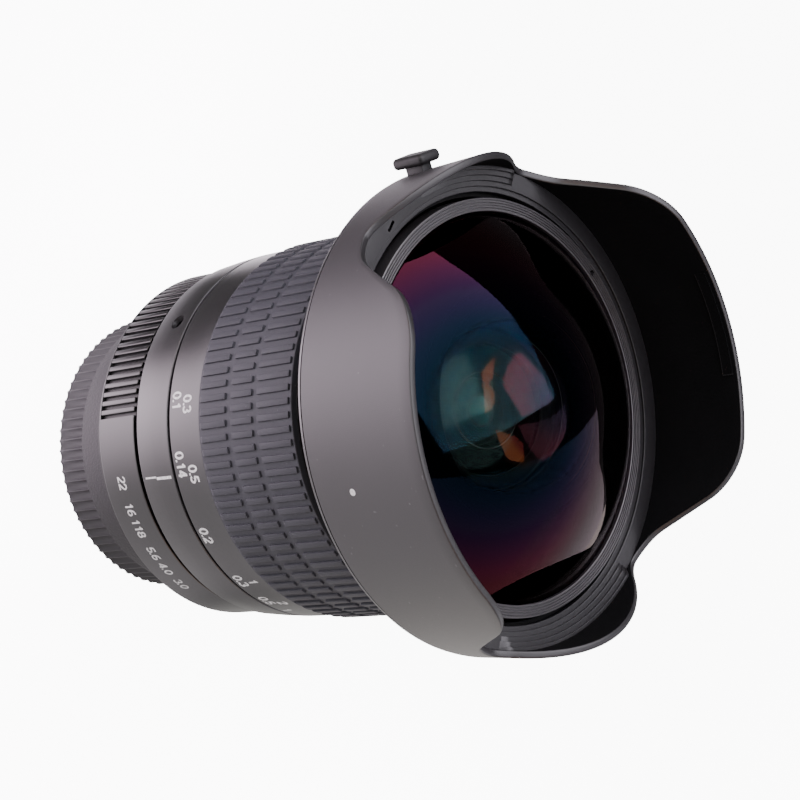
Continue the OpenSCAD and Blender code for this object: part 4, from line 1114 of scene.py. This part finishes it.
# light thrown up from below, by distance in metres and by direction: degrees, half width, strength, colour
bounce = {"base": 0.14, "soft": 0.012, "size": 1.6, "zones": [
    {"from": 0.0, "to": 0.044, "lobes": [
        (-114, 90, 4.4, (1.0, 0.88, 1.0, 1)), (-40, 75, 1.0, (1.0, 0.95, 0.96, 1))]},
    {"from": 0.038, "to": 0.050, "lobes": [(168, 50, 2.6, (1.0, 0.9, 1.0, 1))]},
    {"from": 0.044, "to": 0.100, "lobes": [
        (-118, 37, 6.4, (1.0, 0.85, 0.96, 1)), (-66, 62, 0.95, (1.0, 0.93, 0.96, 1)),
        (12, 32, 0.65, (1.0, 0.96, 0.93, 1)), (124, 34, 4.5, (1.0, 0.90, 0.99, 1))]},
    {"from": 0.100, "to": 0.300, "lobes": [
        (-122, 44, 7.4, (1.0, 0.86, 0.98, 1)), (-60, 75, 1.6, (1.0, 0.95, 0.98, 1)),
        (-2, 50, 2.0, (1.0, 0.95, 0.91, 1)), (137, 24, 2.0, (1.0, 0.90, 0.99, 1))]},
    {"from": 0.300, "to": 2.0, "lobes": [(52, 32, 1.5, (1.0, 0.96, 0.93, 1))]}]}


def addFlat(name, look, height, size):
    half = size / 2
    corners = [(x * half, y * half, height) for x, y in ((-1, -1), (1, -1), (1, 1), (-1, 1))]
    mesh = rawMesh(name, corners, [(0, 1, 2, 3)])
    mesh.materials.append(look.material)
    flat = placed(name, mesh)
    return flat


def makeFloor():
    # the floor that is seen, low enough to show the cap when it is pulled off
    f = Finish("paleFloor")
    cloud = f.noise(3.0, 2.0)
    pale = f.blend(cloud, (0.9, 0.9, 0.905, 1), (0.93, 0.93, 0.935, 1))
    f.end({"Base Color": pale, "Roughness": 0.7 + cloud * 0.1, "Specular IOR Level": 0.0,
           "Emission Color": (1, 1, 1, 1), "Emission Strength": stageSet["glow"]})
    floor = addFlat("floor", f, -stageSet["floorDrop"], stageSet["floorSize"])
    floor.visible_diffuse = floor.visible_glossy = floor.visible_transmission = floor.visible_shadow = False
    # reflector cards just under the lens, which only light it
    g = Finish("reflectorCards")
    x, y = g.axes()[:2]
    away = g.round() + 0.0001
    base = bounce["base"]
    colour = (base, base, base, 1)
    for zone in bounce["zones"]:
        begun, ended = (g.smooth(away, zone[end] - bounce["soft"], zone[end]) for end in ("from", "to"))
        inside = begun * (1 - ended)
        for angle, spread, power, tint in zone["lobes"]:
            a = math.radians(angle)
            aim = (x * math.cos(a) + y * math.sin(a)) / away
            share = g.smooth(aim, math.cos(math.radians(spread)), 1.0) * inside
            colour = g.blend(share, colour, tuple(c * power + base for c in tint[:3]) + (1,))
    g.close(g.node("ShaderNodeEmission", {}, {"Color": colour, "Strength": 1.0}))
    card = addFlat("reflectorCards", g, -stageSet["cardDrop"], bounce["size"])
    card.visible_camera = False


panels = {
    "panelUpper": {"power": 6.0, "colour": (0.98, 0.945, 1.03, 1), "corners": [
        (-0.90, 0.34, 0.28), (-0.86, 0.44, 0.29), (-0.80, 0.455, 0.40), (-0.723, 0.481, 0.496),
        (-0.56, 0.553, 0.617), (-0.296, 0.629, 0.719), (-0.038, 0.647, 0.762), (0.139, 0.672, 0.727),
        (0.19, -0.30, 0.935), (-0.62, -0.42, 0.66)]},
    "panelSide": {"power": 1.5, "colour": (0.98, 0.945, 1.03, 1), "corners": [
        (0.319, -0.435, 0.842), (0.276, 0.906, 0.321), (0.39, 0.876, 0.285), (0.463, 0.854, 0.237),
        (0.54, 0.837, -0.118), (0.62, 0.78, -0.118), (0.96, 0.26, -0.118), (0.98, 0.1, 0.15),
        (0.72, -0.26, 0.63)]},
    "warmLeft": {"power": 4.5, "colour": (1.0, 0.6, 0.38, 1), "corners": [
        (-0.99, -0.09, 0.13), (-0.85, -0.52, 0.1), (-0.79, -0.59, 0.18), (-0.63, -0.68, 0.39),
        (-0.77, -0.47, 0.44), (-0.9, -0.3, 0.33)]},
    "warmFront": {"power": 3.0, "colour": (1.0, 0.62, 0.42, 1), "corners": [
        (0.23, -0.85, 0.48), (0.53, -0.7, 0.3), (0.86, -0.5, 0.11), (0.97, -0.2, 0.12), (0.72, -0.32, 0.58),
        (0.53, -0.5, 0.69)]},
}


def makePanel(name, settings):
    f = Finish(name)
    f.close(f.node("ShaderNodeEmission", {}, {"Color": settings["colour"], "Strength": settings["power"]}))
    middle = Vector((0, 0, stageSet["panelMiddle"]))
    verts = [Vector(c).normalized() * stageSet["panelReach"] + middle for c in settings["corners"]]
    count = len(verts)
    verts.append(sum(verts, Vector()) / count)
    mesh = rawMesh(name, verts, [(count, k, (k + 1) % count) for k in range(count)])
    mesh.materials.append(f.material)
    panel = placed(name, mesh)
    panel.visible_camera = False
    panel.visible_diffuse = not name.startswith("warm")


def makeWorld():
    world = bpy.data.worlds.new("studio")
    world.use_nodes = True
    back = world.node_tree.nodes["Background"]
    back.inputs["Color"].default_value = stageSet["world"]
    back.inputs["Strength"].default_value = stageSet["worldStrength"]
    scene.world = world


softLight = {"place": (-0.5, -0.9, 0.45), "aim": (0, 0, 0.06), "size": 0.7, "power": 6.0}


def makeSoftLight():
    s = softLight
    light = bpy.data.lights.new("frontSoft", "AREA")
    light.shape, light.size, light.energy = "DISK", s["size"], s["power"]
    lamp = placed("frontSoft", light)
    lamp.location = s["place"]
    lamp.rotation_euler = (Vector(s["aim"]) - Vector(s["place"])).to_track_quat("-Z", "Y").to_euler()


# place and axes of the camera that fits the photo
camera = {"place": (-0.0743, -0.3017, 0.3566), "right": (0.28621, 0.62967, 0.7222),
          "up": (-0.94367, 0.31575, 0.0987), "back": (-0.16588, -0.70977, 0.6846), "lens": 108.0,
          "sensor": 36.0}


def makeCamera():
    data = bpy.data.cameras.new("photoCamera")
    data.lens, data.sensor_width = camera["lens"], camera["sensor"]
    data.clip_start, data.clip_end = 0.01, 50.0
    eye = placed("photoCamera", data)
    turn = Matrix((camera["right"], camera["up"], camera["back"])).transposed().to_4x4()
    eye.matrix_world = Matrix.Translation(camera["place"]) @ turn
    scene.camera = eye


makeFloor()
makeWorld()
for panelName, panelSettings in panels.items():
    makePanel(panelName, panelSettings)
makeSoftLight()
makeCamera()
print("stage done")
